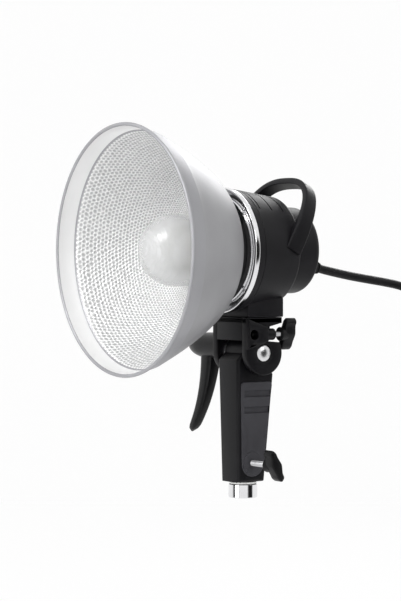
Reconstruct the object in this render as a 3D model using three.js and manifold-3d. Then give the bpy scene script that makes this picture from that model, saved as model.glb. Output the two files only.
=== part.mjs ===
// A studio flash head with a bowl reflector, held on a pistol grip with a tilting yoke.
// Millimetres. X points to the side with the tilt bolt's head, Y to the rear, Z up.
// The origin is the centre of the stand socket's lower rim, and the light shines towards -Y.
import * as THREE from 'three';
import { mergeVertices } from 'three/addons/utils/BufferGeometryUtils.js';
import Module from 'manifold-3d';

const wasm = await Module();
wasm.setup();

// Fits
const SEAT_GAP = 0.3;
const RUNNING_GAP = 0.4;
const CUT_OVERRUN = 2;
const WELD_DISTANCE = 0.001;

// Main places
const TILT_AXIS_HEIGHT = 152;
const TILT_AXIS_SETBACK = 5.5;
const BODY_ABOVE_TILT_AXIS = 42;
const MOUNT_FORWARD = 30;

// Reflector bowl
const RIM_RADIUS = 127;
const RIM_BEAD_RADIUS = 1.9;
const BAND_RADIUS = 122;
const BAND_LENGTH = 21;
const BOWL_BASE_MARGIN = 10;
const BOWL_DEPTH = 110;
const BOWL_WALL = 1.5;
const BOWL_CURVE_SHARE = 0.62;
const BASE_ROUNDING = 3;
const COLLAR_CLEARANCE = 6;
const COLLAR_WALL = 2;
const COLLAR_LENGTH = 16.5;
const COLLAR_FLANGE_WIDTH = 8;
const COLLAR_FLANGE_THICKNESS = 1.4;
const LUG_REACH = 3.2;
const LUG_LENGTH = 3.4;
const LUG_ARC = Math.PI / 6;
const LUG_COUNT = 3;
const RIVET_RADIUS = 1.7;
const RIVET_HEAD_RADIUS = 2.4;
const RIVET_HEAD_HEIGHT = 1;

// Front mount
const TRIM_PROUD = 0.6;
const TRIM_WIDTH = 3.4;
const TRIM_DEPTH = 6;
const TRIM_ROUNDING = 1.2;
const FACE_THICKNESS = 3.2;
const FACE_WIDTH = 6.2;
const BAYONET_WALL = 2;
const BAYONET_LIP_CLEARANCE = 0.7;
const BAYONET_LIP_THICKNESS = 2.4;
const BAYONET_DEPTH = 12;
const MOUNT_SCREW_RADIUS = 1.9;
const MOUNT_SCREW_HEIGHT = 1.3;
const MOUNT_SCREW_COUNT = 4;
const BULKHEAD_THICKNESS = 3;

// Lamp
const LAMP_BASE_MARGIN = 8;
const LAMP_BASE_THICKNESS = 8;
const LAMP_PLUG_HEIGHT = 10;
const DOME_MARGIN = 5;
const DOME_LENGTH = 97;
const DOME_WALL = 1.6;
const TUBE_RADIUS = 3.6;
const TUBE_CLEARANCE = 10.8;
const TUBE_LOOP_HEIGHT = 42;
const TUBE_LEG_SPREAD = 9;
const MODEL_LAMP_RADIUS = 8;
const MODEL_LAMP_LENGTH = 20;
const MODEL_HOLDER_RADIUS = 11;
const MODEL_HOLDER_LENGTH = 9;

// Body
const BODY_FRONT_RADIUS = 65;
const BODY_TAPER = 8.5;
const BODY_LENGTH = 59;
const BODY_ROUNDING = 4;
const BODY_WALL = 2.6;
const REAR_LIP_WIDTH = 16.5;
const VENT_WIDTH = 1.6;
const VENT_PITCH = 16.4;
const VENT_HALF_ARC = 0.82;
const VENT_COUNT = 3;
const VENT_FIRST_FORWARD = 17.5;
const CAP_SETBACK = 10.8;
const CAP_LENGTH = 34;
const CAP_ROUNDING = 6;
const CAP_WALL = 2.6;
const CAP_SCREW_INSET = 12.7;
const CAP_SCREW_RADIUS = 2.8;
const CAP_SCREW_HEIGHT = 1.6;
const TRANSFORMER_RADIUS = 13;
const TRANSFORMER_LENGTH = 28;
const TRANSFORMER_SIDE = 24;
const TERMINAL_WIDTH = 30;
const TERMINAL_HEIGHT = 14;
const TERMINAL_LENGTH = 16;
const SLIDER_WIDTH = 16;
const SLIDER_LENGTH = 13;
const SLIDER_HEIGHT = 4;
const SLIDER_STEM = 5;
const SLIDER_TRAVEL = 4;
const SLIDER_FORWARD = 16;
const LOCK_PIN_RADIUS = 1.6;
const LOCK_PIN_INSET = 1;

// Carrying handle
const HANDLE_INSET = 4.5;
const HANDLE_RISE = 73;
const HANDLE_BASE_RISE = 10;
const HANDLE_BASE_FORWARD = -22;
const HANDLE_LEAN = 0.5;
const HANDLE_SQUARENESS_SHARE = 0.74;
const HANDLE_END_TURN = 0.03;
const HANDLE_THICKNESS = 7;
const HANDLE_BASE_WIDTH = 19;
const HANDLE_TOP_WIDTH = 14;
const HANDLE_STEPS = 20;

// Yoke
const FOOT_HALF_WIDTH = 30.5;
const FOOT_FRONT = 20.6;
const FOOT_REAR = 24.7;
const FOOT_BOTTOM_RISE = 37.2;
const WEB_THICKNESS = 6;
const CHEEK_THICKNESS = 8.2;
const CHEEK_RADIUS = 23;
const CHEEK_ARC_END = 0.5;
const CROWN_RECESS_RADIUS = 18;
const YOKE_BOLT_RADIUS = 2.5;
const YOKE_BOLT_HEAD_RADIUS = 4.5;
const YOKE_BOLT_HEAD_HEIGHT = 3;
const YOKE_BOLT_GRIP = 18;
const YOKE_BOLT_SPACING = 26;
const BOSS_HEIGHT = 4;
const BOSS_REAR = 3.5;
const CLAMP_RISE = 19.6;
const SHAFT_HOLE_FORWARD = 14.9;
const SHAFT_HOLE_RADIUS = 5.2;
const SHAFT_HOLE_CHAMFER = 1;
const CLAMP_NECK_RADIUS = 7;
const CLAMP_NECK_END = 13;
const BOLT_RADIUS = 5;
const BOLT_HEAD_RADIUS = 9.2;
const BOLT_HEAD_DOME = 4.5;
const BOLT_RECESS_DEPTH = 3;

// Clamp lever
const HUB_RADIUS = 14;
const HUB_RISE = 5;
const HUB_LENGTH = 73;
const ARM_DROP = 89;
const ARM_BEND = 2.4;
const ARM_TOP_OUT = 66;
const ARM_TIP_OUT = 92;
const ARM_TIP_FORWARD = 7;
const ARM_TOP_DEPTH = 17;
const ARM_TIP_DEPTH = 9;
const ARM_TOP_WIDTH = 22;
const ARM_TIP_WIDTH = 11.5;

// Wing screws
const STUD_RADIUS = 3;
const WING_SPAN = 36;
const WING_THICKNESS = 8.4;
const WING_WAIST = 5;
const WING_DEPTH = 13;
const WING_BEVEL = 1.3;
const WING_HUB_RADIUS = 7.4;
const WING_HUB_LENGTH = 8;
const SCREW_TRAVEL = 3;
const UPPER_WING_TURN = 1.7;
const LOWER_WING_TURN = 0.21;

// Grip
const GRIP_TOP_HALF_WIDTH = 18;
const GRIP_BOTTOM_HALF_WIDTH = 15.5;
const GRIP_FRONT_TOP = 25;
const GRIP_FRONT_BOTTOM = 22.5;
const GRIP_REAR_TOP = 21.6;
const GRIP_REAR_BOTTOM = 11.6;
const GRIP_SHOULDER_DROP = 30;
const GRIP_BACK_RISE = 8;
const TONGUE_RADIUS = 17.3;
const GRIP_NECK_DROP = 7.4;
const GRIP_BEVEL = 2.8;
const PANEL_THICKNESS = 1.6;
const PANEL_INSET = 4.2;
const PANEL_BOTTOM = 20;
const SLOT_HEIGHT = 7;
const SLOT_DEPTH = 2.6;
const SLOT_FIRST_DROP = 39;
const SLOT_PITCH = 17;
const SLOT_INSET = 4.5;
const DISC_RADIUS = 16;
const SOCKET_RADIUS = 15.2;
const SOCKET_SHOWN = 14.4;
const SOCKET_TUBE_RADIUS = 11.5;
const SOCKET_TOP = 62;
const SOCKET_BORE_RADIUS = 8.1;
const SOCKET_BORE_DEPTH = 52;
const COLLAR_RING_HEIGHT = 1.9;
const COLLAR_RING_RADIUS = 14.4;
const STAND_SCREW_HEIGHT = 37;
const STAND_SCREW_STANDOFF = 28;
const SCREW_INSERT_RADIUS = 5;
const SCREW_INSERT_LENGTH = 3;
const SCREW_PAD_RADIUS = 11.5;
const SCREW_PAD_HEIGHT = 0.8;

// Lead
const CORD_RADIUS = 4.75;
const CORD_SIDES = 8;
const GLAND_DROP = 13;
const GLAND_SLOPE = 0.2;
const GLAND_LENGTH = 30;
const GLAND_RADIUS = 9;
const GLAND_TIP_RADIUS = 6.3;
const GLAND_FLANGE_RADIUS = 12.5;
const GLAND_FLANGE_THICKNESS = 2.6;
const COIL_OUTER_RADIUS = 64;
const COIL_PITCH = 10.2;
const COIL_SPIRAL_TURNS = 2.25;
const COIL_CLIMB_TURNS = 0.5;
const COIL_STEPS_PER_TURN = 24;
const COIL_SIDES = 6;
const TIE_WIDTH = 12;
const TIE_THICKNESS = 1.6;
const TIE_CLEARANCE = 0.7;
const TAIL_LENGTH = 40;
const PLUG_RADIUS = 12.5;
const PLUG_LENGTH = 34;
const PLUG_BOOT_LENGTH = 24;
const PLUG_RING_RADIUS = 15.5;
const PLUG_RING_LENGTH = 16;
const PLUG_INSERT_RADIUS = 9;
const PLUG_PIN_RADIUS = 1.1;
const PLUG_PIN_LENGTH = 5;
const PLUG_PIN_CIRCLE = 4.8;
const PLUG_PIN_COUNT = 5;

// Sizes that follow from the body's front
const OPTICAL_AXIS_RISE = BODY_FRONT_RADIUS + BODY_ABOVE_TILT_AXIS;
const TRIM_RADIUS = BODY_FRONT_RADIUS + TRIM_PROUD;
const BODY_REAR_RADIUS = BODY_FRONT_RADIUS - BODY_TAPER;
const REAR_OPENING_RADIUS = BODY_REAR_RADIUS - REAR_LIP_WIDTH;
const CAP_RADIUS = BODY_REAR_RADIUS - CAP_SETBACK;
const CAP_SCREW_CIRCLE = CAP_RADIUS - CAP_SCREW_INSET;
const HANDLE_HALF_SPAN = BODY_FRONT_RADIUS - HANDLE_INSET;
const BAYONET_RADIUS = TRIM_RADIUS - TRIM_WIDTH - FACE_WIDTH;
const COLLAR_RADIUS = BAYONET_RADIUS - COLLAR_CLEARANCE;
const BAYONET_LIP_RADIUS = COLLAR_RADIUS + BAYONET_LIP_CLEARANCE;
const BOWL_BASE_RADIUS = COLLAR_RADIUS + BOWL_BASE_MARGIN;
const LAMP_BASE_RADIUS = COLLAR_RADIUS - LAMP_BASE_MARGIN;
const DOME_RADIUS = LAMP_BASE_RADIUS - DOME_MARGIN;
const TUBE_LOOP_RADIUS = DOME_RADIUS - DOME_WALL - TUBE_RADIUS - TUBE_CLEARANCE;
const LOCK_PIN_SIDE = COLLAR_RADIUS - LOCK_PIN_INSET;

// Facets
const BOWL_STEPS = 56;
const ROUND_STEPS = 44;
const SMALL_STEPS = 20;
const PIN_STEPS = 10;

// Directions
const FORWARD = new THREE.Vector3(0, -1, 0);
const ACROSS = new THREE.Vector3(1, 0, 0);
const UP = new THREE.Vector3(0, 0, 1);
const LATHE_AXIS = new THREE.Vector3(0, 1, 0);

// Finishes
const finish = (color, roughness, metalness) =>
  new THREE.MeshStandardMaterial({ color, roughness, metalness });
const spunAluminium = () => finish(0xb9bbbd, 0.35, 0.9);
const chrome = () => finish(0xe6e8ea, 0.08, 1);
const steel = () => finish(0xa7a9ac, 0.35, 1);
const blackPlastic = () => finish(0x1f1f23, 0.55, 0);
const blackRubber = () => finish(0x26262a, 0.8, 0);
const blackMetal = () => finish(0x141416, 0.4, 0.3);
const ceramic = () => finish(0xe9e6df, 0.6, 0);
const glass = () => finish(0xf4f8fa, 0.05, 0);
const nylon = () => finish(0xf2f2ef, 0.5, 0);
const brass = () => finish(0xb08d4a, 0.35, 1);
const copper = () => finish(0x8a4b25, 0.5, 0.6);

// A geometry with shared vertices, position alone and no collapsed faces.
function welded(geometry) {
  const bare = geometry.clone();
  bare.deleteAttribute('normal');
  bare.deleteAttribute('uv');
  const shared = mergeVertices(bare, WELD_DISTANCE);
  const corners = shared.index.array;
  const kept = [];
  for (let i = 0; i < corners.length; i += 3) {
    const [a, b, c] = corners.slice(i, i + 3);
    if (a !== b && b !== c && c !== a) kept.push(a, b, c);
  }
  shared.setIndex(kept);
  return shared;
}

function solid(geometry) {
  const shared = welded(geometry);
  return new wasm.Manifold(new wasm.Mesh({
    numProp: 3,
    vertProperties: shared.attributes.position.array,
    triVerts: new Uint32Array(shared.index.array),
  }));
}

function geometryOf(manifold) {
  const { vertProperties, triVerts } = manifold.getMesh();
  const geometry = new THREE.BufferGeometry();
  geometry.setAttribute('position', new THREE.BufferAttribute(new Float32Array(vertProperties), 3));
  geometry.setIndex(new THREE.BufferAttribute(new Uint32Array(triVerts), 1));
  return geometry;
}

function joined(...geometries) {
  return geometryOf(geometries.map(solid).reduce((whole, piece) => whole.add(piece)));
}

function cut(geometry, ...tools) {
  return geometryOf(tools.map(solid).reduce((rest, tool) => rest.subtract(tool), solid(geometry)));
}

function common(first, second) {
  return geometryOf(solid(first).intersect(solid(second)));
}

// A body turned about an axis, from [radius, place] pairs round its half section.
function turned(section, steps, axis) {
  const points = section.map(([radius, place]) => new THREE.Vector2(radius, place));
  if (THREE.ShapeUtils.area(points) < 0) points.reverse();
  const open = points[0].x === 0 && points[points.length - 1].x === 0;
  if (!open) points.push(points[0].clone());
  const turn = new THREE.Quaternion().setFromUnitVectors(LATHE_AXIS, axis);
  return new THREE.LatheGeometry(points, steps).applyQuaternion(turn);
}

// A round bar from one point to another.
function rod(radius, from, to, steps, endRadius = radius) {
  const start = new THREE.Vector3(...from);
  const end = new THREE.Vector3(...to);
  const span = end.clone().sub(start);
  const bar = new THREE.CylinderGeometry(endRadius, radius, span.length(), steps);
  bar.applyQuaternion(new THREE.Quaternion().setFromUnitVectors(LATHE_AXIS, span.normalize()));
  const middle = start.add(end).multiplyScalar(0.5);
  return bar.translate(middle.x, middle.y, middle.z);
}

function block([lowX, lowY, lowZ], [highX, highY, highZ]) {
  const box = new THREE.BoxGeometry(highX - lowX, highY - lowY, highZ - lowZ);
  return box.translate((lowX + highX) / 2, (lowY + highY) / 2, (lowZ + highZ) / 2);
}

// A flat outline pushed out between two places, with its edges bevelled inside those places.
function extruded(outline, low, high, bevel) {
  const shape = outline instanceof THREE.Shape
    ? outline
    : new THREE.Shape(outline.map(([a, b]) => new THREE.Vector2(a, b)));
  const plate = new THREE.ExtrudeGeometry(shape, {
    depth: high - low - 2 * bevel,
    bevelEnabled: bevel > 0,
    bevelThickness: bevel,
    bevelSize: bevel,
    bevelOffset: -bevel,
    bevelSegments: 1,
    curveSegments: 10,
  });
  return plate.translate(0, 0, low + bevel);
}

const Y_Z_TO_X = new THREE.Matrix4().makeBasis(LATHE_AXIS, UP, ACROSS);
const X_Z_TO_Y = new THREE.Matrix4().makeBasis(ACROSS, UP, FORWARD);

// The outline is given as [y, z], and the piece runs from low to high along X.
function sidewise(outline, low, high, bevel = 0) {
  return extruded(outline, low, high, bevel).applyMatrix4(Y_Z_TO_X);
}

// The outline is given as [x, z], and the piece runs from low to high towards the front.
function frontwise(outline, low, high, bevel = 0) {
  return extruded(outline, low, high, bevel).applyMatrix4(X_Z_TO_Y);
}

// A closed tube of even section along points.
function tube(points, radius, sides, steps) {
  const section = new THREE.Shape();
  for (let side = 0; side < sides; side += 1) {
    const angle = (2 * Math.PI * side) / sides;
    const corner = [radius * Math.cos(angle), radius * Math.sin(angle)];
    if (side === 0) section.moveTo(...corner);
    else section.lineTo(...corner);
  }
  const path = new THREE.CatmullRomCurve3(points, false, 'centripetal');
  return new THREE.ExtrudeGeometry(section, { steps, extrudePath: path });
}

const part = new THREE.Group();
const head = new THREE.Group();
head.position.set(0, TILT_AXIS_SETBACK, TILT_AXIS_HEIGHT + OPTICAL_AXIS_RISE);
const yoke = new THREE.Group();
yoke.position.set(0, TILT_AXIS_SETBACK, TILT_AXIS_HEIGHT);
const grip = new THREE.Group();
part.add(head, yoke, grip);

function add(group, name, geometry, material) {
  const mesh = new THREE.Mesh(geometry, material);
  mesh.name = name;
  group.add(mesh);
}

// Copies of one piece, each in its own node with a number.
function addEach(group, name, geometries, material) {
  geometries.forEach((geometry, index) => add(group, `${name}_${index + 1}`, geometry, material));
}

// Places along the optical axis, ahead of the tilt axis
const collarBack = MOUNT_FORWARD + SEAT_GAP;
const bowlBase = collarBack + COLLAR_LENGTH + SEAT_GAP;
const bandStart = bowlBase + BOWL_DEPTH - BAND_LENGTH;
const rim = bowlBase + BOWL_DEPTH;
const bulkheadFront = MOUNT_FORWARD - BAYONET_DEPTH / 2;
const lampBaseBack = bulkheadFront + SEAT_GAP;
const domeBack = lampBaseBack + LAMP_BASE_THICKNESS + SEAT_GAP;
const plugTop = lampBaseBack + LAMP_BASE_THICKNESS + LAMP_PLUG_HEIGHT;
const bodyRear = MOUNT_FORWARD - BODY_LENGTH;
const capFront = bodyRear - SEAT_GAP;
const capRear = capFront - CAP_LENGTH;

// Half section of the bowl's curved wall, from its base to its band.
function bowlCurve(inset) {
  const curveSteps = 7;
  const start = BOWL_BASE_RADIUS;
  const points = [];
  for (let step = 0; step <= curveSteps; step += 1) {
    const share = (step / curveSteps) ** 1.5;
    const radius = start + (BAND_RADIUS - start) * share ** BOWL_CURVE_SHARE;
    points.push([radius - inset, bowlBase + BASE_ROUNDING + (bandStart - bowlBase - BASE_ROUNDING) * share]);
  }
  return points;
}

// Places of the fasteners that are spread evenly round the optical axis.
function around(count, radius, firstAngle) {
  return Array.from({ length: count }, (_, index) => {
    const angle = firstAngle + (2 * Math.PI * index) / count;
    return [radius * Math.cos(angle), radius * Math.sin(angle)];
  });
}

const rivetCircle = COLLAR_RADIUS + RIVET_HEAD_RADIUS + RUNNING_GAP;
const rivetPlaces = around(LUG_COUNT, rivetCircle, -Math.PI / 3);

function rivetBars(radius) {
  const reach = 2 * CUT_OVERRUN;
  return rivetPlaces.map(([x, z]) =>
    rod(radius, [x, -bowlBase + reach, z], [x, -bowlBase - reach, z], PIN_STEPS));
}

function reflectorBowl() {
  const outer = bowlCurve(0);
  const inner = bowlCurve(BOWL_WALL).map(([radius, place]) => [radius, place + BOWL_WALL / 3]).reverse();
  const bead = [];
  const beadSteps = 5;
  for (let step = 0; step <= beadSteps; step += 1) {
    const angle = -Math.PI / 2 + (Math.PI * 1.5 * step) / beadSteps;
    const place = rim - RIM_BEAD_RADIUS + RIM_BEAD_RADIUS * Math.sin(angle);
    bead.push([RIM_RADIUS + RIM_BEAD_RADIUS * Math.cos(angle), place]);
  }
  const baseInner = COLLAR_RADIUS - COLLAR_WALL + SEAT_GAP;
  const section = [
    [baseInner, bowlBase],
    [BOWL_BASE_RADIUS - BASE_ROUNDING, bowlBase],
    ...outer,
    ...bead,
    ...inner,
    [BOWL_BASE_RADIUS - BASE_ROUNDING - BOWL_WALL, bowlBase + BOWL_WALL],
    [baseInner, bowlBase + BOWL_WALL],
  ];
  return cut(turned(section, BOWL_STEPS, FORWARD), ...rivetBars(RIVET_RADIUS + SEAT_GAP));
}

// A ring sector between two radii, which lies round the optical axis.
function sector(innerRadius, outerRadius, back, front, middleAngle, arc) {
  const shape = new THREE.Shape();
  shape.absarc(0, 0, outerRadius, middleAngle - arc / 2, middleAngle + arc / 2, false);
  shape.absarc(0, 0, innerRadius, middleAngle + arc / 2, middleAngle - arc / 2, true);
  return extruded(shape, back, front, 0).applyMatrix4(X_Z_TO_Y);
}

function reflectorCollar() {
  const inner = COLLAR_RADIUS - COLLAR_WALL;
  const front = collarBack + COLLAR_LENGTH;
  const flangeBack = front - COLLAR_FLANGE_THICKNESS;
  const section = [
    [inner, collarBack],
    [COLLAR_RADIUS, collarBack],
    [COLLAR_RADIUS, flangeBack],
    [COLLAR_RADIUS + COLLAR_FLANGE_WIDTH, flangeBack],
    [COLLAR_RADIUS + COLLAR_FLANGE_WIDTH, front],
    [inner, front],
  ];
  const lugs = around(LUG_COUNT, 1, Math.PI / 2).map(([x, z]) =>
    sector(inner + COLLAR_WALL / 2, COLLAR_RADIUS + LUG_REACH, collarBack, collarBack + LUG_LENGTH,
      Math.atan2(z, x), LUG_ARC));
  return cut(joined(turned(section, ROUND_STEPS, FORWARD), ...lugs), ...rivetBars(RIVET_RADIUS + SEAT_GAP));
}

function reflectorRivets() {
  const headFront = bowlBase + BOWL_WALL + SEAT_GAP;
  const headBack = collarBack + COLLAR_LENGTH - COLLAR_FLANGE_THICKNESS - SEAT_GAP;
  return rivetPlaces.map(([x, z]) => turned([
    [0, headBack - RIVET_HEAD_HEIGHT],
    [RIVET_HEAD_RADIUS, headBack - RIVET_HEAD_HEIGHT],
    [RIVET_HEAD_RADIUS, headBack],
    [RIVET_RADIUS, headBack],
    [RIVET_RADIUS, headFront],
    [RIVET_HEAD_RADIUS, headFront],
    [RIVET_HEAD_RADIUS, headFront + RIVET_HEAD_HEIGHT],
    [0, headFront + RIVET_HEAD_HEIGHT],
  ], PIN_STEPS, FORWARD).translate(x, 0, z));
}

function ring(innerRadius, outerRadius, back, front, rounding, steps) {
  return turned([
    [innerRadius, back],
    [outerRadius, back],
    [outerRadius, front - rounding],
    [outerRadius - rounding, front],
    [innerRadius + rounding, front],
    [innerRadius, front - rounding],
  ], steps, FORWARD);
}

const trimBack = MOUNT_FORWARD + SEAT_GAP;
const trimInner = TRIM_RADIUS - TRIM_WIDTH;
const mountScrewCircle = (trimInner + BAYONET_RADIUS) / 2;
const mountScrewPlaces = around(MOUNT_SCREW_COUNT, mountScrewCircle, Math.PI / 4);

function mountFace() {
  const front = trimBack + FACE_THICKNESS;
  return turned([
    [BAYONET_RADIUS + SEAT_GAP, trimBack],
    [trimInner - SEAT_GAP, trimBack],
    [trimInner - SEAT_GAP, front],
    [BAYONET_RADIUS + SEAT_GAP, front],
  ], ROUND_STEPS, FORWARD);
}

function mountScrews() {
  const back = trimBack + FACE_THICKNESS + SEAT_GAP;
  return mountScrewPlaces.map(([x, z]) =>
    rod(MOUNT_SCREW_RADIUS, [x, -back, z], [x, -back - MOUNT_SCREW_HEIGHT, z], PIN_STEPS));
}

function bayonetRing() {
  const back = bulkheadFront + SEAT_GAP;
  const front = back + BAYONET_DEPTH;
  const body = turned([
    [BAYONET_RADIUS - BAYONET_WALL, back],
    [BAYONET_RADIUS, back],
    [BAYONET_RADIUS, front],
    [BAYONET_LIP_RADIUS, front],
    [BAYONET_LIP_RADIUS, front - BAYONET_LIP_THICKNESS],
    [BAYONET_RADIUS - BAYONET_WALL, front - BAYONET_LIP_THICKNESS],
  ], ROUND_STEPS, FORWARD);
  const notches = around(LUG_COUNT, 1, Math.PI / 2 - (LUG_ARC * 4) / 3).map(([x, z]) =>
    sector(BAYONET_LIP_RADIUS - CUT_OVERRUN, COLLAR_RADIUS + LUG_REACH + RUNNING_GAP,
      front - BAYONET_LIP_THICKNESS - CUT_OVERRUN, front + CUT_OVERRUN, Math.atan2(z, x), LUG_ARC * 1.1));
  return cut(body, ...notches);
}

// Outer radius of the body shell at a share of its length from its rear.
const bodyRadius = (share) => BODY_REAR_RADIUS + (BODY_FRONT_RADIUS - BODY_REAR_RADIUS) * share;

function bodyOutline(grow) {
  const rounded = BODY_ROUNDING * (1 - Math.SQRT1_2);
  const cornerShare = BODY_ROUNDING / BODY_LENGTH;
  const corner = bodyRadius(cornerShare);
  return [
    [0, bodyRear - grow],
    [corner - BODY_ROUNDING + grow, bodyRear - grow],
    [corner - rounded + grow, bodyRear + rounded - grow],
    [corner + grow, bodyRear + BODY_ROUNDING],
    [BODY_FRONT_RADIUS + grow, MOUNT_FORWARD + grow],
    [0, MOUNT_FORWARD + grow],
  ];
}

function bodyShell() {
  const rearInside = bodyRear + BODY_WALL;
  const cornerShare = BODY_ROUNDING / BODY_LENGTH;
  const corner = bodyRadius(cornerShare);
  const shell = turned([
    [REAR_OPENING_RADIUS, bodyRear],
    ...bodyOutline(0).slice(1, 5),
    [BODY_FRONT_RADIUS - BODY_WALL, MOUNT_FORWARD],
    [corner - BODY_WALL, rearInside],
    [REAR_OPENING_RADIUS, rearInside],
  ], ROUND_STEPS, FORWARD);
  const vents = Array.from({ length: VENT_COUNT }, (_, index) => {
    const middle = VENT_FIRST_FORWARD - index * VENT_PITCH;
    return sector(BODY_REAR_RADIUS - 2 * BODY_WALL, BODY_FRONT_RADIUS + CUT_OVERRUN,
      middle - VENT_WIDTH / 2, middle + VENT_WIDTH / 2, Math.PI / 2, 2 * VENT_HALF_ARC);
  });
  const stemHalf = SLIDER_STEM / 2 + RUNNING_GAP;
  const stemSlot = block(
    [-BODY_FRONT_RADIUS - CUT_OVERRUN, -SLIDER_FORWARD - stemHalf, -stemHalf],
    [-LOCK_PIN_SIDE, -SLIDER_FORWARD + stemHalf + SLIDER_TRAVEL, stemHalf],
  );
  return cut(shell, ...vents, stemSlot);
}

// Inner radius of the body shell at a place along the optical axis.
function shellInside(place) {
  const rearInside = bodyRear + BODY_WALL;
  const corner = bodyRadius(BODY_ROUNDING / BODY_LENGTH);
  const share = (place - rearInside) / (MOUNT_FORWARD - rearInside);
  return corner + (BODY_FRONT_RADIUS - corner) * share - BODY_WALL;
}

function frontBulkhead() {
  const back = bulkheadFront - BULKHEAD_THICKNESS;
  const radius = shellInside(back) - 2 * SEAT_GAP;
  const section = [[0, back], [radius, back], [radius, bulkheadFront], [0, bulkheadFront]];
  const plate = turned(section, ROUND_STEPS, FORWARD);
  const pinHole = rod(LOCK_PIN_RADIUS + RUNNING_GAP, [-LOCK_PIN_SIDE, -back + CUT_OVERRUN, 0],
    [-LOCK_PIN_SIDE, -bulkheadFront - CUT_OVERRUN, 0], PIN_STEPS);
  return cut(plate, pinHole);
}

function releaseSlider() {
  const inside = BODY_FRONT_RADIUS + SEAT_GAP * 2;
  const low = -SLIDER_FORWARD - SLIDER_LENGTH / 2;
  const pad = extruded([
    [-inside, -SLIDER_WIDTH / 2],
    [-inside, SLIDER_WIDTH / 2],
    [-inside - SLIDER_HEIGHT, SLIDER_WIDTH / 3],
    [-inside - SLIDER_HEIGHT, -SLIDER_WIDTH / 3],
  ].reverse(), 0, SLIDER_LENGTH, 0).applyMatrix4(X_Z_TO_Y).translate(0, low + SLIDER_LENGTH, 0);
  const stem = block(
    [-inside - SLIDER_HEIGHT / 2, -SLIDER_FORWARD - SLIDER_STEM / 2, -SLIDER_STEM / 2],
    [-LOCK_PIN_SIDE + LOCK_PIN_RADIUS, -SLIDER_FORWARD + SLIDER_STEM / 2, SLIDER_STEM / 2],
  );
  const pin = rod(LOCK_PIN_RADIUS, [-LOCK_PIN_SIDE, -SLIDER_FORWARD, 0],
    [-LOCK_PIN_SIDE, -collarBack + RUNNING_GAP, 0], PIN_STEPS);
  return joined(pad, stem, pin);
}

// Half section of the rear cap's outside, from the axis at the rear to its front edge.
function capOutline() {
  const rounded = CAP_ROUNDING * (1 - Math.SQRT1_2);
  return [
    [CAP_RADIUS - CAP_ROUNDING, capRear],
    [CAP_RADIUS - rounded, capRear + rounded],
    [CAP_RADIUS, capRear + CAP_ROUNDING],
    [CAP_RADIUS, capFront],
  ];
}

const capScrewPlaces = around(MOUNT_SCREW_COUNT, CAP_SCREW_CIRCLE, Math.PI / 4);

function rearCap() {
  const shell = turned([
    [0, capRear],
    ...capOutline(),
    [CAP_RADIUS - CAP_WALL, capFront],
    [CAP_RADIUS - CAP_WALL, capRear + CAP_ROUNDING],
    [CAP_RADIUS - CAP_ROUNDING, capRear + CAP_WALL],
    [0, capRear + CAP_WALL],
  ], ROUND_STEPS, FORWARD);
  const holes = capScrewPlaces.map(([x, z]) =>
    rod(CAP_SCREW_RADIUS + SEAT_GAP, [x, -capRear + CUT_OVERRUN, z],
      [x, -capRear - CAP_SCREW_HEIGHT, z], PIN_STEPS));
  return cut(shell, ...holes);
}

function capScrews() {
  return capScrewPlaces.map(([x, z]) => rod(CAP_SCREW_RADIUS, [x, -capRear - SEAT_GAP, z],
    [x, -capRear - CAP_SCREW_HEIGHT + SEAT_GAP, z], PIN_STEPS));
}

function lampBase() {
  const front = lampBaseBack + LAMP_BASE_THICKNESS;
  const plug = DOME_RADIUS - DOME_WALL - SEAT_GAP;
  return turned([
    [0, lampBaseBack],
    [LAMP_BASE_RADIUS, lampBaseBack],
    [LAMP_BASE_RADIUS, front],
    [plug, front],
    [plug, plugTop],
    [0, plugTop],
  ], ROUND_STEPS, FORWARD);
}

function glassDome() {
  const arcSteps = 6;
  const centre = domeBack + DOME_LENGTH - DOME_RADIUS;
  const arc = (radius) => Array.from({ length: arcSteps + 1 }, (_, step) => {
    const angle = (Math.PI / 2) * (step / arcSteps);
    return [step === arcSteps ? 0 : radius * Math.cos(angle), centre + radius * Math.sin(angle)];
  });
  const inner = DOME_RADIUS - DOME_WALL;
  const section = [
    ...arc(inner).reverse(),
    [inner, domeBack],
    [DOME_RADIUS, domeBack],
    ...arc(DOME_RADIUS),
  ];
  return turned(section, SMALL_STEPS + 12, FORWARD);
}

function flashTube() {
  const base = plugTop + SEAT_GAP;
  const loop = base + TUBE_LOOP_HEIGHT;
  const rise = TUBE_RADIUS * 3;
  const points = [
    new THREE.Vector3(-TUBE_LEG_SPREAD, -base, -TUBE_LOOP_RADIUS),
    new THREE.Vector3(-TUBE_LEG_SPREAD, -base - rise, -TUBE_LOOP_RADIUS),
  ];
  const arcSteps = 16;
  for (let step = 0; step <= arcSteps; step += 1) {
    const angle = -Math.PI / 2 - 0.62 - (2 * Math.PI - 1.24) * (step / arcSteps);
    const side = TUBE_LOOP_RADIUS * Math.cos(angle);
    points.push(new THREE.Vector3(side, -loop, TUBE_LOOP_RADIUS * Math.sin(angle)));
  }
  points.push(new THREE.Vector3(TUBE_LEG_SPREAD, -base - rise, -TUBE_LOOP_RADIUS));
  points.push(new THREE.Vector3(TUBE_LEG_SPREAD, -base, -TUBE_LOOP_RADIUS));
  return tube(points, TUBE_RADIUS, CORD_SIDES, 40);
}

function modellingHolder() {
  const base = plugTop + SEAT_GAP;
  return rod(MODEL_HOLDER_RADIUS, [0, -base, 0], [0, -base - MODEL_HOLDER_LENGTH, 0], SMALL_STEPS);
}

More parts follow.
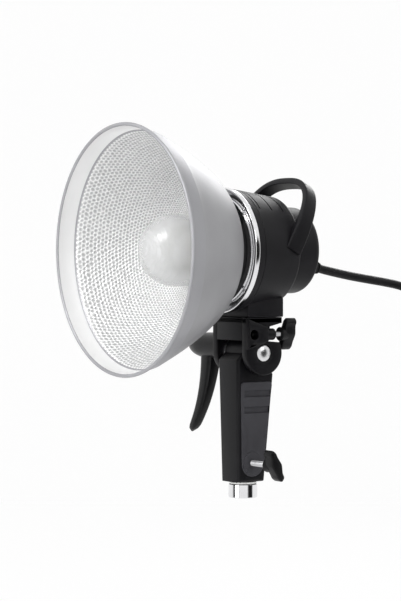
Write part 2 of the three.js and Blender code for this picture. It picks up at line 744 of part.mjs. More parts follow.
function modellingLamp() {
  const base = plugTop + 2 * SEAT_GAP + MODEL_HOLDER_LENGTH;
  const shoulder = base + MODEL_LAMP_LENGTH - MODEL_LAMP_RADIUS;
  return turned([
    [0, base],
    [MODEL_LAMP_RADIUS, base],
    [MODEL_LAMP_RADIUS, shoulder],
    [MODEL_LAMP_RADIUS * Math.SQRT1_2, shoulder + MODEL_LAMP_RADIUS * Math.SQRT1_2],
    [0, shoulder + MODEL_LAMP_RADIUS],
  ], SMALL_STEPS, FORWARD);
}

function triggerTransformer() {
  const front = bulkheadFront - BULKHEAD_THICKNESS - SEAT_GAP;
  return rod(TRANSFORMER_RADIUS, [TRANSFORMER_SIDE, -front, 0],
    [TRANSFORMER_SIDE, -front + TRANSFORMER_LENGTH, 0], SMALL_STEPS);
}

function terminalBlock() {
  const front = bulkheadFront - BULKHEAD_THICKNESS - SEAT_GAP;
  const low = -TRANSFORMER_SIDE - TERMINAL_HEIGHT;
  return block([-TERMINAL_WIDTH / 2, -front, low],
    [TERMINAL_WIDTH / 2, -front + TERMINAL_LENGTH, low + TERMINAL_HEIGHT]);
}

const signedPower = (value, power) => Math.sign(value) * Math.abs(value) ** power;

// The handle is a strap bent over the body in a plane that leans to the rear.
function carryHandle() {
  const rings = [];
  const halfThick = HANDLE_THICKNESS / 2;
  for (let step = 0; step <= HANDLE_STEPS; step += 1) {
    const angle = Math.PI * ((step / HANDLE_STEPS) * (1 + 2 * HANDLE_END_TURN) - HANDLE_END_TURN);
    const lift = Math.min(1, Math.max(0, Math.sin(angle)));
    const width = HANDLE_TOP_WIDTH + (HANDLE_BASE_WIDTH - HANDLE_TOP_WIDTH) * (1 - lift) ** 2;
    const span = HANDLE_HALF_SPAN - halfThick;
    const height = HANDLE_RISE - halfThick;
    const side = span * signedPower(Math.cos(angle), HANDLE_SQUARENESS_SHARE);
    const rise = height * signedPower(Math.sin(angle), HANDLE_SQUARENESS_SHARE);
    const outward = new THREE.Vector2(
      height * signedPower(Math.cos(angle), 2 - HANDLE_SQUARENESS_SHARE),
      span * signedPower(Math.sin(angle), 2 - HANDLE_SQUARENESS_SHARE),
    ).normalize();
    rings.push([[-1, -1], [-1, 1], [1, 1], [1, -1]].map(([across, thick]) => [
      side + outward.x * thick * halfThick,
      rise + outward.y * thick * halfThick,
      (across * width) / 2,
    ]));
  }
  const corners = rings.flat();
  const faces = [];
  for (let step = 0; step < HANDLE_STEPS; step += 1) {
    for (let side = 0; side < 4; side += 1) {
      const a = step * 4 + side;
      const b = step * 4 + ((side + 1) % 4);
      faces.push(a, b + 4, b, a, a + 4, b + 4);
    }
  }
  const last = HANDLE_STEPS * 4;
  faces.push(0, 2, 3, 0, 1, 2, last, last + 2, last + 1, last, last + 3, last + 2);
  const strap = new THREE.BufferGeometry();
  const places = corners.flatMap(([x, rise, along]) => [
    x,
    -HANDLE_BASE_FORWARD + rise * Math.sin(HANDLE_LEAN) - along * Math.cos(HANDLE_LEAN),
    HANDLE_BASE_RISE + rise * Math.cos(HANDLE_LEAN) + along * Math.sin(HANDLE_LEAN),
  ]);
  strap.setAttribute('position', new THREE.BufferAttribute(new Float32Array(places), 3));
  strap.setIndex(faces);
  return cut(strap, turned(bodyOutline(SEAT_GAP), ROUND_STEPS, FORWARD), turned([
    [0, capRear - SEAT_GAP],
    ...capOutline().map(([radius, place]) => [radius + SEAT_GAP, place]),
    [0, capFront + CUT_OVERRUN],
  ], ROUND_STEPS, FORWARD));
}

add(head, 'reflector_bowl', reflectorBowl(), spunAluminium());
add(head, 'reflector_collar', reflectorCollar(), blackMetal());
addEach(head, 'reflector_rivet', reflectorRivets(), steel());
add(head, 'mount_trim_ring',
  ring(trimInner, TRIM_RADIUS, trimBack, trimBack + TRIM_DEPTH, TRIM_ROUNDING, ROUND_STEPS), chrome());
add(head, 'mount_face', mountFace(), chrome());
addEach(head, 'mount_screw', mountScrews(), steel());
add(head, 'bayonet_ring', bayonetRing(), chrome());
add(head, 'front_bulkhead', frontBulkhead(), steel());
add(head, 'release_slider', releaseSlider(), blackPlastic());
add(head, 'body_shell', bodyShell(), blackPlastic());
add(head, 'rear_cap', rearCap(), blackPlastic());
addEach(head, 'rear_cap_screw', capScrews(), steel());
add(head, 'lamp_base', lampBase(), ceramic());
add(head, 'glass_dome', glassDome(), glass());
add(head, 'flash_tube', flashTube(), glass());
add(head, 'modelling_lamp_holder', modellingHolder(), ceramic());
add(head, 'modelling_lamp', modellingLamp(), glass());
add(head, 'trigger_transformer', triggerTransformer(), copper());
add(head, 'terminal_block', terminalBlock(), nylon());
add(head, 'carry_handle', carryHandle(), blackPlastic());

// Yoke, in places from the tilt axis
const cheekInner = FOOT_HALF_WIDTH - CHEEK_THICKNESS;
const yokeBoltPlaces = [-YOKE_BOLT_SPACING / 2, YOKE_BOLT_SPACING / 2];

function mountFoot() {
  const low = FOOT_BOTTOM_RISE + SEAT_GAP - OPTICAL_AXIS_RISE;
  const high = low + BODY_FRONT_RADIUS / 2;
  const slab = block([-FOOT_HALF_WIDTH, -FOOT_FRONT, low], [FOOT_HALF_WIDTH, FOOT_REAR, high]);
  const holes = yokeBoltPlaces.map((x) =>
    rod(YOKE_BOLT_RADIUS + SEAT_GAP, [x, 0, low - CUT_OVERRUN], [x, 0, high], PIN_STEPS));
  return cut(slab, turned(bodyOutline(SEAT_GAP), ROUND_STEPS, FORWARD), ...holes);
}

add(head, 'mount_foot', mountFoot(), blackPlastic());

function cheekOutline() {
  const shape = new THREE.Shape();
  shape.moveTo(-CHEEK_RADIUS, FOOT_BOTTOM_RISE);
  shape.lineTo(-CHEEK_RADIUS, 0);
  shape.absarc(0, 0, CHEEK_RADIUS, Math.PI, 2 * Math.PI + CHEEK_ARC_END, false);
  shape.lineTo(BOSS_REAR, CLAMP_RISE - CLAMP_NECK_RADIUS);
  shape.lineTo(BOSS_REAR, CLAMP_RISE + CLAMP_NECK_RADIUS);
  shape.lineTo(CHEEK_RADIUS, FOOT_BOTTOM_RISE - WEB_THICKNESS);
  shape.lineTo(CHEEK_RADIUS, FOOT_BOTTOM_RISE);
  shape.closePath();
  return shape;
}

function yokeFrame() {
  const near = sidewise(cheekOutline(), cheekInner, FOOT_HALF_WIDTH);
  const far = sidewise(cheekOutline(), -FOOT_HALF_WIDTH, -cheekInner);
  const web = block([-FOOT_HALF_WIDTH, -CHEEK_RADIUS, FOOT_BOTTOM_RISE - WEB_THICKNESS],
    [FOOT_HALF_WIDTH, CHEEK_RADIUS, FOOT_BOTTOM_RISE]);
  const crownBottom = CLAMP_RISE - SHAFT_HOLE_RADIUS - SHAFT_HOLE_CHAMFER;
  const crown = cut(
    sidewise([
      [-CHEEK_RADIUS, crownBottom],
      [0, crownBottom],
      [0, CROWN_RECESS_RADIUS],
      [CLAMP_NECK_END, CROWN_RECESS_RADIUS],
      [CLAMP_NECK_END, FOOT_BOTTOM_RISE],
      [-CHEEK_RADIUS, FOOT_BOTTOM_RISE],
    ], -cheekInner - SEAT_GAP, cheekInner + SEAT_GAP),
    rod(CROWN_RECESS_RADIUS, [-FOOT_HALF_WIDTH, 0, 0], [FOOT_HALF_WIDTH, 0, 0], ROUND_STEPS),
  );
  const bossOut = FOOT_HALF_WIDTH + BOSS_HEIGHT;
  const bossRear = BOSS_REAR;
  const boss = sidewise([
    [-CHEEK_RADIUS, CLAMP_RISE - SHAFT_HOLE_RADIUS * 3],
    [bossRear, CLAMP_RISE - CLAMP_NECK_RADIUS],
    [bossRear, CLAMP_RISE + CLAMP_NECK_RADIUS],
    [-CHEEK_RADIUS, FOOT_BOTTOM_RISE - SEAT_GAP * 3],
  ], cheekInner, bossOut, SHAFT_HOLE_CHAMFER);
  const screwSide = (cheekInner + bossOut) / 2;
  const neckRadius = (bossOut - cheekInner) / 2;
  const neck = rod(neckRadius, [screwSide, 0, CLAMP_RISE],
    [screwSide, CLAMP_NECK_END, CLAMP_RISE], SMALL_STEPS);
  const shaftHole = rod(SHAFT_HOLE_RADIUS, [-FOOT_HALF_WIDTH - CUT_OVERRUN, -SHAFT_HOLE_FORWARD, CLAMP_RISE],
    [bossOut + CUT_OVERRUN, -SHAFT_HOLE_FORWARD, CLAMP_RISE], SMALL_STEPS);
  const mouth = rod(SHAFT_HOLE_RADIUS, [bossOut - SHAFT_HOLE_CHAMFER, -SHAFT_HOLE_FORWARD, CLAMP_RISE],
    [bossOut + SHAFT_HOLE_CHAMFER, -SHAFT_HOLE_FORWARD, CLAMP_RISE], SMALL_STEPS,
    SHAFT_HOLE_RADIUS + 2 * SHAFT_HOLE_CHAMFER);
  const screwHole = rod(STUD_RADIUS + RUNNING_GAP, [screwSide, -SHAFT_HOLE_FORWARD, CLAMP_RISE],
    [screwSide, CLAMP_NECK_END + CUT_OVERRUN, CLAMP_RISE], PIN_STEPS);
  const boltHole = rod(BOLT_RADIUS + SEAT_GAP, [-FOOT_HALF_WIDTH - CUT_OVERRUN, 0, 0],
    [FOOT_HALF_WIDTH + CUT_OVERRUN, 0, 0], SMALL_STEPS);
  const recess = rod(BOLT_HEAD_RADIUS + SEAT_GAP, [FOOT_HALF_WIDTH - BOLT_RECESS_DEPTH, 0, 0],
    [FOOT_HALF_WIDTH + BOSS_HEIGHT + CUT_OVERRUN, 0, 0], SMALL_STEPS);
  const webBottom = FOOT_BOTTOM_RISE - WEB_THICKNESS;
  const webHoles = yokeBoltPlaces.map((x) => rod(YOKE_BOLT_RADIUS + SEAT_GAP,
    [x, 0, webBottom - CUT_OVERRUN], [x, 0, FOOT_BOTTOM_RISE + CUT_OVERRUN], PIN_STEPS));
  const headWays = yokeBoltPlaces.map((x) =>
    rod(YOKE_BOLT_HEAD_RADIUS + SEAT_GAP, [x, 0, 0], [x, 0, webBottom], SMALL_STEPS));
  const frame = joined(near, far, web, crown, boss, neck);
  return cut(frame, shaftHole, mouth, screwHole, boltHole, recess, ...webHoles, ...headWays);
}

function yokeBolts() {
  const headTop = FOOT_BOTTOM_RISE - WEB_THICKNESS - SEAT_GAP;
  return yokeBoltPlaces.map((x) => turned([
    [0, headTop - YOKE_BOLT_HEAD_HEIGHT],
    [YOKE_BOLT_HEAD_RADIUS, headTop - YOKE_BOLT_HEAD_HEIGHT],
    [YOKE_BOLT_HEAD_RADIUS, headTop],
    [YOKE_BOLT_RADIUS, headTop],
    [YOKE_BOLT_RADIUS, headTop + YOKE_BOLT_GRIP - CUT_OVERRUN],
    [0, headTop + YOKE_BOLT_GRIP - CUT_OVERRUN],
  ], PIN_STEPS, UP).translate(x, 0, 0));
}

function tiltBolt() {
  const seat = FOOT_HALF_WIDTH - BOLT_RECESS_DEPTH + SEAT_GAP;
  return turned([
    [0, -FOOT_HALF_WIDTH - HUB_LENGTH / 3],
    [BOLT_RADIUS, -FOOT_HALF_WIDTH - HUB_LENGTH / 3],
    [BOLT_RADIUS, seat],
    [BOLT_HEAD_RADIUS, seat],
    [BOLT_HEAD_RADIUS, seat + BOLT_RECESS_DEPTH / 3],
    [BOLT_HEAD_RADIUS * 0.8, seat + BOLT_HEAD_DOME * 0.65],
    [BOLT_HEAD_RADIUS * 0.42, seat + BOLT_HEAD_DOME * 0.93],
    [0, seat + BOLT_HEAD_DOME],
  ], SMALL_STEPS + 4, ACROSS);
}

// The lever's hub is a long rounded cone, and its arm bends outwards as it goes down.
function clampLever() {
  const base = FOOT_HALF_WIDTH + SEAT_GAP;
  const hubShares = [
    [1, 0], [1, 0.5], [0.97, 0.62], [0.87, 0.75], [0.68, 0.86], [0.45, 0.94], [0.22, 0.985], [0, 1],
  ];
  const hub = turned([
    [0, base],
    ...hubShares.map(([wide, long]) => [HUB_RADIUS * wide, base + HUB_LENGTH * long]),
  ], SMALL_STEPS + 4, ACROSS).rotateZ(Math.PI).translate(0, 0, HUB_RISE);
  const drop = (share) => -ARM_DROP * share;
  const out = (share, side) => {
    const middle = ARM_TOP_OUT + (ARM_TIP_OUT - ARM_TOP_OUT) * share ** ARM_BEND;
    return -middle + (side * (ARM_TOP_WIDTH + (ARM_TIP_WIDTH - ARM_TOP_WIDTH) * share)) / 2;
  };
  const steps = [0, 0.25, 0.5, 0.75, 1];
  const faceOutline = [
    ...steps.map((share) => [out(share, 1), drop(share)]),
    ...steps.map((share) => [out(share, -1), drop(share)]).reverse(),
  ];
  const deep = ARM_TIP_FORWARD + ARM_TOP_DEPTH;
  const face = frontwise(faceOutline, -deep, deep);
  const along = (share, side) => {
    const depth = ARM_TOP_DEPTH + (ARM_TIP_DEPTH - ARM_TOP_DEPTH) * share;
    return -ARM_TIP_FORWARD * share + (side * depth) / 2;
  };
  const sideOutline = [
    ...steps.map((share) => [along(share, 1), drop(share)]),
    ...steps.map((share) => [along(share, -1), drop(share)]).reverse(),
  ];
  const side = sidewise(sideOutline, -ARM_TIP_OUT - ARM_TIP_WIDTH, -ARM_TOP_OUT + ARM_TOP_WIDTH);
  const arm = common(face, side);
  const boltHole = rod(BOLT_RADIUS + SEAT_GAP, [-base + CUT_OVERRUN, 0, 0],
    [-base - HUB_LENGTH / 3 - SEAT_GAP, 0, 0], SMALL_STEPS);
  return cut(joined(hub, arm), boltHole);
}

// A wing knob on the +X axis with its back at X = 0, its stud pointing to -X.
function wingKnob(turn) {
  const half = WING_SPAN / 2;
  const tip = WING_THICKNESS / 2;
  const lean = WING_THICKNESS / 3;
  const outline = [
    [half - tip, lean - tip], [half, lean], [half - tip, lean + tip],
    [half / 2, lean / 2 + WING_WAIST * 0.8], [0, WING_WAIST * 1.3], [-half / 2, -lean / 2 + WING_WAIST * 0.8],
    [-half + tip, -lean + tip], [-half, -lean], [-half + tip, -lean - tip],
    [-half / 2, -lean / 2 - WING_WAIST * 0.8], [0, -WING_WAIST * 1.3],
    [half / 2, lean / 2 - WING_WAIST * 0.8],
  ];
  const wings = sidewise(outline, WING_HUB_LENGTH / 2, WING_HUB_LENGTH / 2 + WING_DEPTH, WING_BEVEL);
  const hub = rod(WING_HUB_RADIUS, [0, 0, 0], [WING_HUB_LENGTH, 0, 0], SMALL_STEPS, WING_HUB_RADIUS * 0.85);
  return joined(wings, hub).rotateX(turn);
}

const screwSide = (cheekInner + FOOT_HALF_WIDTH + BOSS_HEIGHT) / 2;
const upperKnobBack = CHEEK_RADIUS + SCREW_TRAVEL / 2 + RUNNING_GAP - WING_HUB_LENGTH / 2;
const studSink = WING_HUB_LENGTH / 2;

add(yoke, 'yoke_frame', yokeFrame(), blackPlastic());
addEach(yoke, 'yoke_bolt', yokeBolts(), steel());
add(yoke, 'tilt_bolt', tiltBolt(), chrome());
add(yoke, 'clamp_lever', clampLever(), blackPlastic());
add(yoke, 'shaft_clamp_knob', cut(wingKnob(UPPER_WING_TURN),
  rod(STUD_RADIUS + SEAT_GAP, [-CUT_OVERRUN, 0, 0], [studSink + SEAT_GAP, 0, 0], PIN_STEPS))
  .rotateZ(Math.PI / 2).translate(screwSide, upperKnobBack, CLAMP_RISE), blackPlastic());
const upperStudTip = -SHAFT_HOLE_FORWARD + SHAFT_HOLE_RADIUS + SCREW_TRAVEL / 2;
add(yoke, 'shaft_clamp_stud', rod(STUD_RADIUS, [screwSide, upperStudTip, CLAMP_RISE],
  [screwSide, upperKnobBack + studSink, CLAMP_RISE], PIN_STEPS), steel());

function frictionDisc(side) {
  const low = GRIP_TOP_HALF_WIDTH + SEAT_GAP;
  const high = cheekInner - SEAT_GAP;
  const inner = BOLT_RADIUS + SEAT_GAP;
  const section = [[inner, low], [DISC_RADIUS, low], [DISC_RADIUS, high], [inner, high]];
  return turned(section, SMALL_STEPS + 4, ACROSS).rotateZ(side < 0 ? Math.PI : 0);
}

add(yoke, 'friction_disc_right', frictionDisc(1), steel());
add(yoke, 'friction_disc_left', frictionDisc(-1), steel());

// Grip, in places from the origin
const gripBottom = SOCKET_SHOWN + COLLAR_RING_HEIGHT + 2 * SEAT_GAP;
const shoulder = TILT_AXIS_HEIGHT - GRIP_SHOULDER_DROP;
const backTop = shoulder + GRIP_BACK_RISE;
const rearTop = TILT_AXIS_SETBACK + GRIP_REAR_TOP;
const rearBottom = TILT_AXIS_SETBACK + GRIP_REAR_BOTTOM;
const frontTop = TILT_AXIS_SETBACK - GRIP_FRONT_TOP;
const frontBottom = TILT_AXIS_SETBACK - GRIP_FRONT_BOTTOM;

function widthAt(height) {
  const share = (height - gripBottom) / (shoulder - gripBottom);
  return GRIP_BOTTOM_HALF_WIDTH + (GRIP_TOP_HALF_WIDTH - GRIP_BOTTOM_HALF_WIDTH) * Math.min(1, share);
}

function gripSideOutline() {
  const shape = new THREE.Shape();
  shape.moveTo(rearBottom, gripBottom);
  shape.lineTo(rearTop, backTop);
  shape.lineTo(TILT_AXIS_SETBACK + TONGUE_RADIUS, backTop + GRIP_BEVEL);
  shape.lineTo(TILT_AXIS_SETBACK + TONGUE_RADIUS, TILT_AXIS_HEIGHT);
  shape.absarc(TILT_AXIS_SETBACK, TILT_AXIS_HEIGHT, TONGUE_RADIUS, 0, Math.PI, false);
  shape.lineTo(frontTop, TILT_AXIS_HEIGHT - GRIP_NECK_DROP);
  shape.lineTo(frontBottom, gripBottom);
  shape.closePath();
  return shape;
}

function gripFrontOutline(inset) {
  const top = TILT_AXIS_HEIGHT + TONGUE_RADIUS + CUT_OVERRUN;
  const low = GRIP_BOTTOM_HALF_WIDTH - inset;
  const high = GRIP_TOP_HALF_WIDTH - inset;
  const right = [[low, gripBottom], [high, shoulder], [high, top]];
  return [...right, ...right.map(([x, z]) => [-x, z]).reverse()];
}

// The raised side panel's outline, as [y, z], with round ends.
function panelOutline(inset) {
  const shape = new THREE.Shape();
  const low = PANEL_BOTTOM + gripBottom - SOCKET_SHOWN + inset;
  const top = shoulder - SEAT_GAP - inset;
  const frontSlope = (frontTop - frontBottom) / (shoulder - gripBottom);
  const rearSlope = (rearTop - rearBottom) / (backTop - gripBottom);
  const front = (height) => frontBottom + frontSlope * (height - gripBottom) + PANEL_INSET + inset;
  const rear = (height) => rearBottom + rearSlope * (height - gripBottom) - PANEL_INSET / 2 - inset;
  const middle = (front(low) + rear(low)) / 2;
  const half = (rear(low) - front(low)) / 2;
  const round = PANEL_INSET;
  shape.moveTo(front(low + half), low + half);
  shape.absarc(middle, low + half, half, Math.PI, 2 * Math.PI, false);
  shape.absarc(rear(top - round) - round, top - round, round, 0, Math.PI / 2, false);
  shape.absarc(front(top - round) + round, top - round, round, Math.PI / 2, Math.PI, false);
  shape.closePath();
  return shape;
}

const screwHeight = STAND_SCREW_HEIGHT;
const insertFace = widthAt(screwHeight) + SEAT_GAP;
const insertEnd = SOCKET_TUBE_RADIUS + 2 * SEAT_GAP + SCREW_INSERT_LENGTH;

function gripCore() {
  const side = sidewise(gripSideOutline(), -GRIP_TOP_HALF_WIDTH - CUT_OVERRUN,
    GRIP_TOP_HALF_WIDTH + CUT_OVERRUN);
  const front = frontwise(gripFrontOutline(0), -rearTop - CUT_OVERRUN, -frontTop + CUT_OVERRUN);
  const hull = common(side, front);
  const chamfer = Math.SQRT2 * GRIP_BEVEL;
  const corners = [-1, 1].map((hand) => {
    const bar = new THREE.BoxGeometry(chamfer, chamfer, 2 * TILT_AXIS_HEIGHT).rotateZ(Math.PI / 4);
    const tilt = Math.atan2(GRIP_TOP_HALF_WIDTH - GRIP_BOTTOM_HALF_WIDTH, shoulder - gripBottom);
    const pitch = Math.atan2(frontBottom - frontTop, shoulder - gripBottom);
    bar.rotateY(hand * tilt).rotateX(pitch);
    return bar.translate(hand * GRIP_BOTTOM_HALF_WIDTH, frontBottom, gripBottom);
  });
  const beyond = GRIP_TOP_HALF_WIDTH + CUT_OVERRUN;
  const recessFace = widthAt(gripBottom) - PANEL_THICKNESS;
  const recessRight = sidewise(panelOutline(-SEAT_GAP), recessFace, beyond);
  const recessLeft = sidewise(panelOutline(-SEAT_GAP), -beyond, -recessFace);
  const well = rod(SOCKET_TUBE_RADIUS + SEAT_GAP, [0, 0, gripBottom - CUT_OVERRUN],
    [0, 0, SOCKET_TOP + SEAT_GAP], SMALL_STEPS + 4);
  const screwWay = rod(SCREW_INSERT_RADIUS + SEAT_GAP, [0, 0, screwHeight],
    [beyond, 0, screwHeight], SMALL_STEPS);
  const boltWay = rod(BOLT_RADIUS + SEAT_GAP, [-beyond, TILT_AXIS_SETBACK, TILT_AXIS_HEIGHT],
    [beyond, TILT_AXIS_SETBACK, TILT_AXIS_HEIGHT], SMALL_STEPS);
  return cut(hull, ...corners, recessRight, recessLeft, well, screwWay, boltWay);
}

// A side panel with two finger slots; the right one also lets the stand screw through.
function gripPanel(hand) {
  const inner = widthAt(gripBottom) - PANEL_THICKNESS + SEAT_GAP;
  const outer = GRIP_TOP_HALF_WIDTH + PANEL_THICKNESS / 2;
  const slab = hand > 0 ? sidewise(panelOutline(0), inner, outer) : sidewise(panelOutline(0), -outer, -inner);
  const face = gripFrontOutline(-PANEL_THICKNESS / 2);
  const front = frontwise(face, -rearTop - CUT_OVERRUN, -frontTop + CUT_OVERRUN);
  const slots = [0, 1].map((index) => {
    const top = TILT_AXIS_HEIGHT - SLOT_FIRST_DROP - index * SLOT_PITCH;
    const bottom = top - SLOT_HEIGHT;
    const floor = widthAt(top) + PANEL_THICKNESS / 2 - SLOT_DEPTH;
    const low = [floor, frontTop + PANEL_INSET + SLOT_INSET, bottom];
    const high = [outer + CUT_OVERRUN, rearTop + CUT_OVERRUN, top];
    return hand > 0 ? block(low, high) : block([-high[0], low[1], low[2]], [-low[0], high[1], high[2]]);
  });
  if (hand < 0) {
    return cut(common(slab, front), ...slots);
  }
  const padEnd = widthAt(screwHeight) + PANEL_THICKNESS / 2 + SCREW_PAD_HEIGHT;
  const pad = rod(SCREW_PAD_RADIUS, [inner + SEAT_GAP, 0, screwHeight],
    [padEnd, 0, screwHeight], SMALL_STEPS + 12);
  const insertWay = rod(SCREW_INSERT_RADIUS + 2 * SEAT_GAP, [0, 0, screwHeight],
    [insertEnd + SEAT_GAP, 0, screwHeight], SMALL_STEPS);
  const screwWay = rod(STUD_RADIUS + RUNNING_GAP, [0, 0, screwHeight],
    [outer + CUT_OVERRUN, 0, screwHeight], PIN_STEPS);
  return cut(joined(common(slab, front), pad), ...slots, insertWay, screwWay);
}

function standSocket() {
  const body = turned([
    [SOCKET_BORE_RADIUS, 0],
    [SOCKET_RADIUS, 0],
    [SOCKET_RADIUS, SOCKET_SHOWN],
    [SOCKET_TUBE_RADIUS, SOCKET_SHOWN],
    [SOCKET_TUBE_RADIUS, SOCKET_TOP],
    [0, SOCKET_TOP],
    [0, SOCKET_BORE_DEPTH],
    [SOCKET_BORE_RADIUS, SOCKET_BORE_DEPTH],
  ], SMALL_STEPS + 12, UP);
  const screwWay = rod(STUD_RADIUS + RUNNING_GAP, [0, 0, screwHeight],
    [SOCKET_RADIUS + CUT_OVERRUN, 0, screwHeight], PIN_STEPS);
  return cut(body, screwWay);
}

function socketCollar() {
  const low = SOCKET_SHOWN + SEAT_GAP;
  return turned([
    [SOCKET_TUBE_RADIUS + SEAT_GAP, low],
    [COLLAR_RING_RADIUS, low],
    [COLLAR_RING_RADIUS, low + COLLAR_RING_HEIGHT],
    [SOCKET_TUBE_RADIUS + SEAT_GAP, low + COLLAR_RING_HEIGHT],
  ], SMALL_STEPS + 12, UP);
}

function screwInsert() {
  const inner = SOCKET_TUBE_RADIUS + 2 * SEAT_GAP;
  return turned([
    [STUD_RADIUS + RUNNING_GAP, inner],
    [SCREW_INSERT_RADIUS, inner],
    [SCREW_INSERT_RADIUS, insertEnd],
    [STUD_RADIUS + RUNNING_GAP, insertEnd],
  ], SMALL_STEPS, ACROSS).translate(0, 0, screwHeight);
}

const lowerKnobBack = insertFace + STAND_SCREW_STANDOFF;
add(grip, 'grip_core', gripCore(), blackPlastic());
add(grip, 'grip_panel_right', gripPanel(1), blackRubber());
add(grip, 'grip_panel_left', gripPanel(-1), blackRubber());
add(grip, 'stand_socket', standSocket(), chrome());
add(grip, 'socket_collar', socketCollar(), nylon());
add(grip, 'screw_insert', screwInsert(), brass());
const lowerStudTip = SOCKET_BORE_RADIUS + SEAT_GAP + SCREW_TRAVEL / 2;
add(grip, 'stand_clamp_stud', rod(STUD_RADIUS, [lowerStudTip, 0, screwHeight],
  [lowerKnobBack + studSink, 0, screwHeight], PIN_STEPS), steel());
add(grip, 'stand_clamp_knob', cut(wingKnob(LOWER_WING_TURN + Math.PI / 2),
  rod(STUD_RADIUS + SEAT_GAP, [-CUT_OVERRUN, 0, 0], [studSink + SEAT_GAP, 0, 0], PIN_STEPS))
  .translate(lowerKnobBack, 0, screwHeight), blackPlastic());

// Lead, in places from the head's centre
const glandEnd = -capRear + GLAND_LENGTH;
const glandAngle = Math.atan(GLAND_SLOPE);
const alongGland = new THREE.Vector3(0, Math.cos(glandAngle), -Math.sin(glandAngle));
const glandStart = new THREE.Vector3(0, -capRear + SEAT_GAP, -GLAND_DROP);

function cordGland() {
  const ribShares = [0.12, 0.3, 0.48, 0.66, 0.84];
  const section = [[0, 0], [GLAND_FLANGE_RADIUS, 0], [GLAND_FLANGE_RADIUS, GLAND_FLANGE_THICKNESS]];
  ribShares.forEach((share) => {
    const place = GLAND_FLANGE_THICKNESS + (GLAND_LENGTH - GLAND_FLANGE_THICKNESS) * share;
    const radius = GLAND_RADIUS + (GLAND_TIP_RADIUS - GLAND_RADIUS) * share;
    section.push([radius, place - CORD_RADIUS / 4], [radius * 0.9, place], [radius, place + CORD_RADIUS / 4]);
  });
  section.push([GLAND_TIP_RADIUS, GLAND_LENGTH], [0, GLAND_LENGTH]);
  const cone = turned(section, SMALL_STEPS, alongGland).translate(glandStart.x, glandStart.y, glandStart.z);
  const wall = -capRear + SEAT_GAP;
  const capSide = block([-CAP_RADIUS, wall - CAP_RADIUS, -CAP_RADIUS * 2], [CAP_RADIUS, wall, CAP_RADIUS]);
  return cut(cone, capSide);
}

// Chosen points of the lead's free run, as [towards the rear, up], in millimetres.
const RUN_ROUTE = [
  [94, -19.4], [104, -21.4], [122, -24.9], [141, -28.2], [163, -31.5], [186, -34.8],
  [207, -38.6], [226, -44.8], [243, -55], [256, -69.5], [263.5, -87], [266, -104], [266, -116],
];
const runStart = glandStart.clone().addScaledVector(alongGland, GLAND_LENGTH + SEAT_GAP);
const runPoints = [
  runStart,
  ...RUN_ROUTE.slice(1).map(([back, up]) => new THREE.Vector3(0, back, up)),
];
const runEnd = runPoints[runPoints.length - 1];
const coilStart = runEnd.clone().add(new THREE.Vector3(0, 0, -SEAT_GAP));
const coilTurns = 2 * COIL_SPIRAL_TURNS + COIL_CLIMB_TURNS;
const coilCentre = coilStart.clone().add(new THREE.Vector3(COIL_OUTER_RADIUS, 0, -2 * CORD_RADIUS));

// A place on the coil's centre line, after a number of turns.
function coilPoint(turns) {
  const climbed = Math.min(1, Math.max(0, (turns - COIL_SPIRAL_TURNS) / COIL_CLIMB_TURNS));
  const inward = Math.min(turns, coilTurns - turns);
  const radius = COIL_OUTER_RADIUS - COIL_PITCH * inward;
  const angle = Math.PI + 2 * Math.PI * turns;
  const place = new THREE.Vector3(radius * Math.cos(angle), COIL_PITCH * climbed, radius * Math.sin(angle));
  return place.add(coilCentre);
}

const coilPoints = [coilStart.clone()];
for (let step = 0; step <= coilTurns * COIL_STEPS_PER_TURN; step += 1) {
  coilPoints.push(coilPoint(step / COIL_STEPS_PER_TURN));
}
const tailTop = coilPoint(coilTurns);
coilPoints.push(tailTop.clone().add(new THREE.Vector3(0, 0, -2 * CORD_RADIUS)));

// A tube with one ring of corners at each point, kept upright on the coil's axis.
function coilTube() {
  const corners = [];
  coilPoints.forEach((point, index) => {
    const before = coilPoints[Math.max(0, index - 1)];
    const after = coilPoints[Math.min(coilPoints.length - 1, index + 1)];
    const along = after.clone().sub(before);
    if (index === 1 || index === coilPoints.length - 2) along.set(0, 0, -1);
    along.normalize();
    const out = new THREE.Vector3().crossVectors(along, new THREE.Vector3(0, 1, 0)).normalize();
    const level = new THREE.Vector3().crossVectors(out, along);
    for (let side = 0; side < COIL_SIDES; side += 1) {
      const angle = (2 * Math.PI * (side + 0.5)) / COIL_SIDES;
      const corner = point.clone().addScaledVector(out, CORD_RADIUS * Math.cos(angle));
      corner.addScaledVector(level, CORD_RADIUS * Math.sin(angle));
      corners.push(corner.x, corner.y, corner.z);
    }
  });
  const faces = [];
  for (let ringIndex = 0; ringIndex < coilPoints.length - 1; ringIndex += 1) {
    for (let side = 0; side < COIL_SIDES; side += 1) {
      const a = ringIndex * COIL_SIDES + side;
      const b = ringIndex * COIL_SIDES + ((side + 1) % COIL_SIDES);
      faces.push(a, b + COIL_SIDES, b, a, a + COIL_SIDES, b + COIL_SIDES);
    }
  }
  const last = (coilPoints.length - 1) * COIL_SIDES;
  for (let side = 1; side < COIL_SIDES - 1; side += 1) {
    faces.push(0, side, side + 1, last, last + side + 1, last + side);
  }
  const geometry = new THREE.BufferGeometry();
  geometry.setAttribute('position', new THREE.BufferAttribute(new Float32Array(corners), 3));
  geometry.setIndex(faces);
  return geometry;
}

// The least clear gap between the coil's turns, measured on its points.
function leastCoilGap() {
  let least = Infinity;
  const apart = COIL_STEPS_PER_TURN / 2;
  coilPoints.forEach((point, index) => {
    coilPoints.slice(index + apart).forEach((other) => {
      least = Math.min(least, point.distanceTo(other) - 2 * CORD_RADIUS);
    });
  });
  return least;
}

console.log(`least gap between the turns of the coil: ${leastCoilGap().toFixed(2)} mm`);

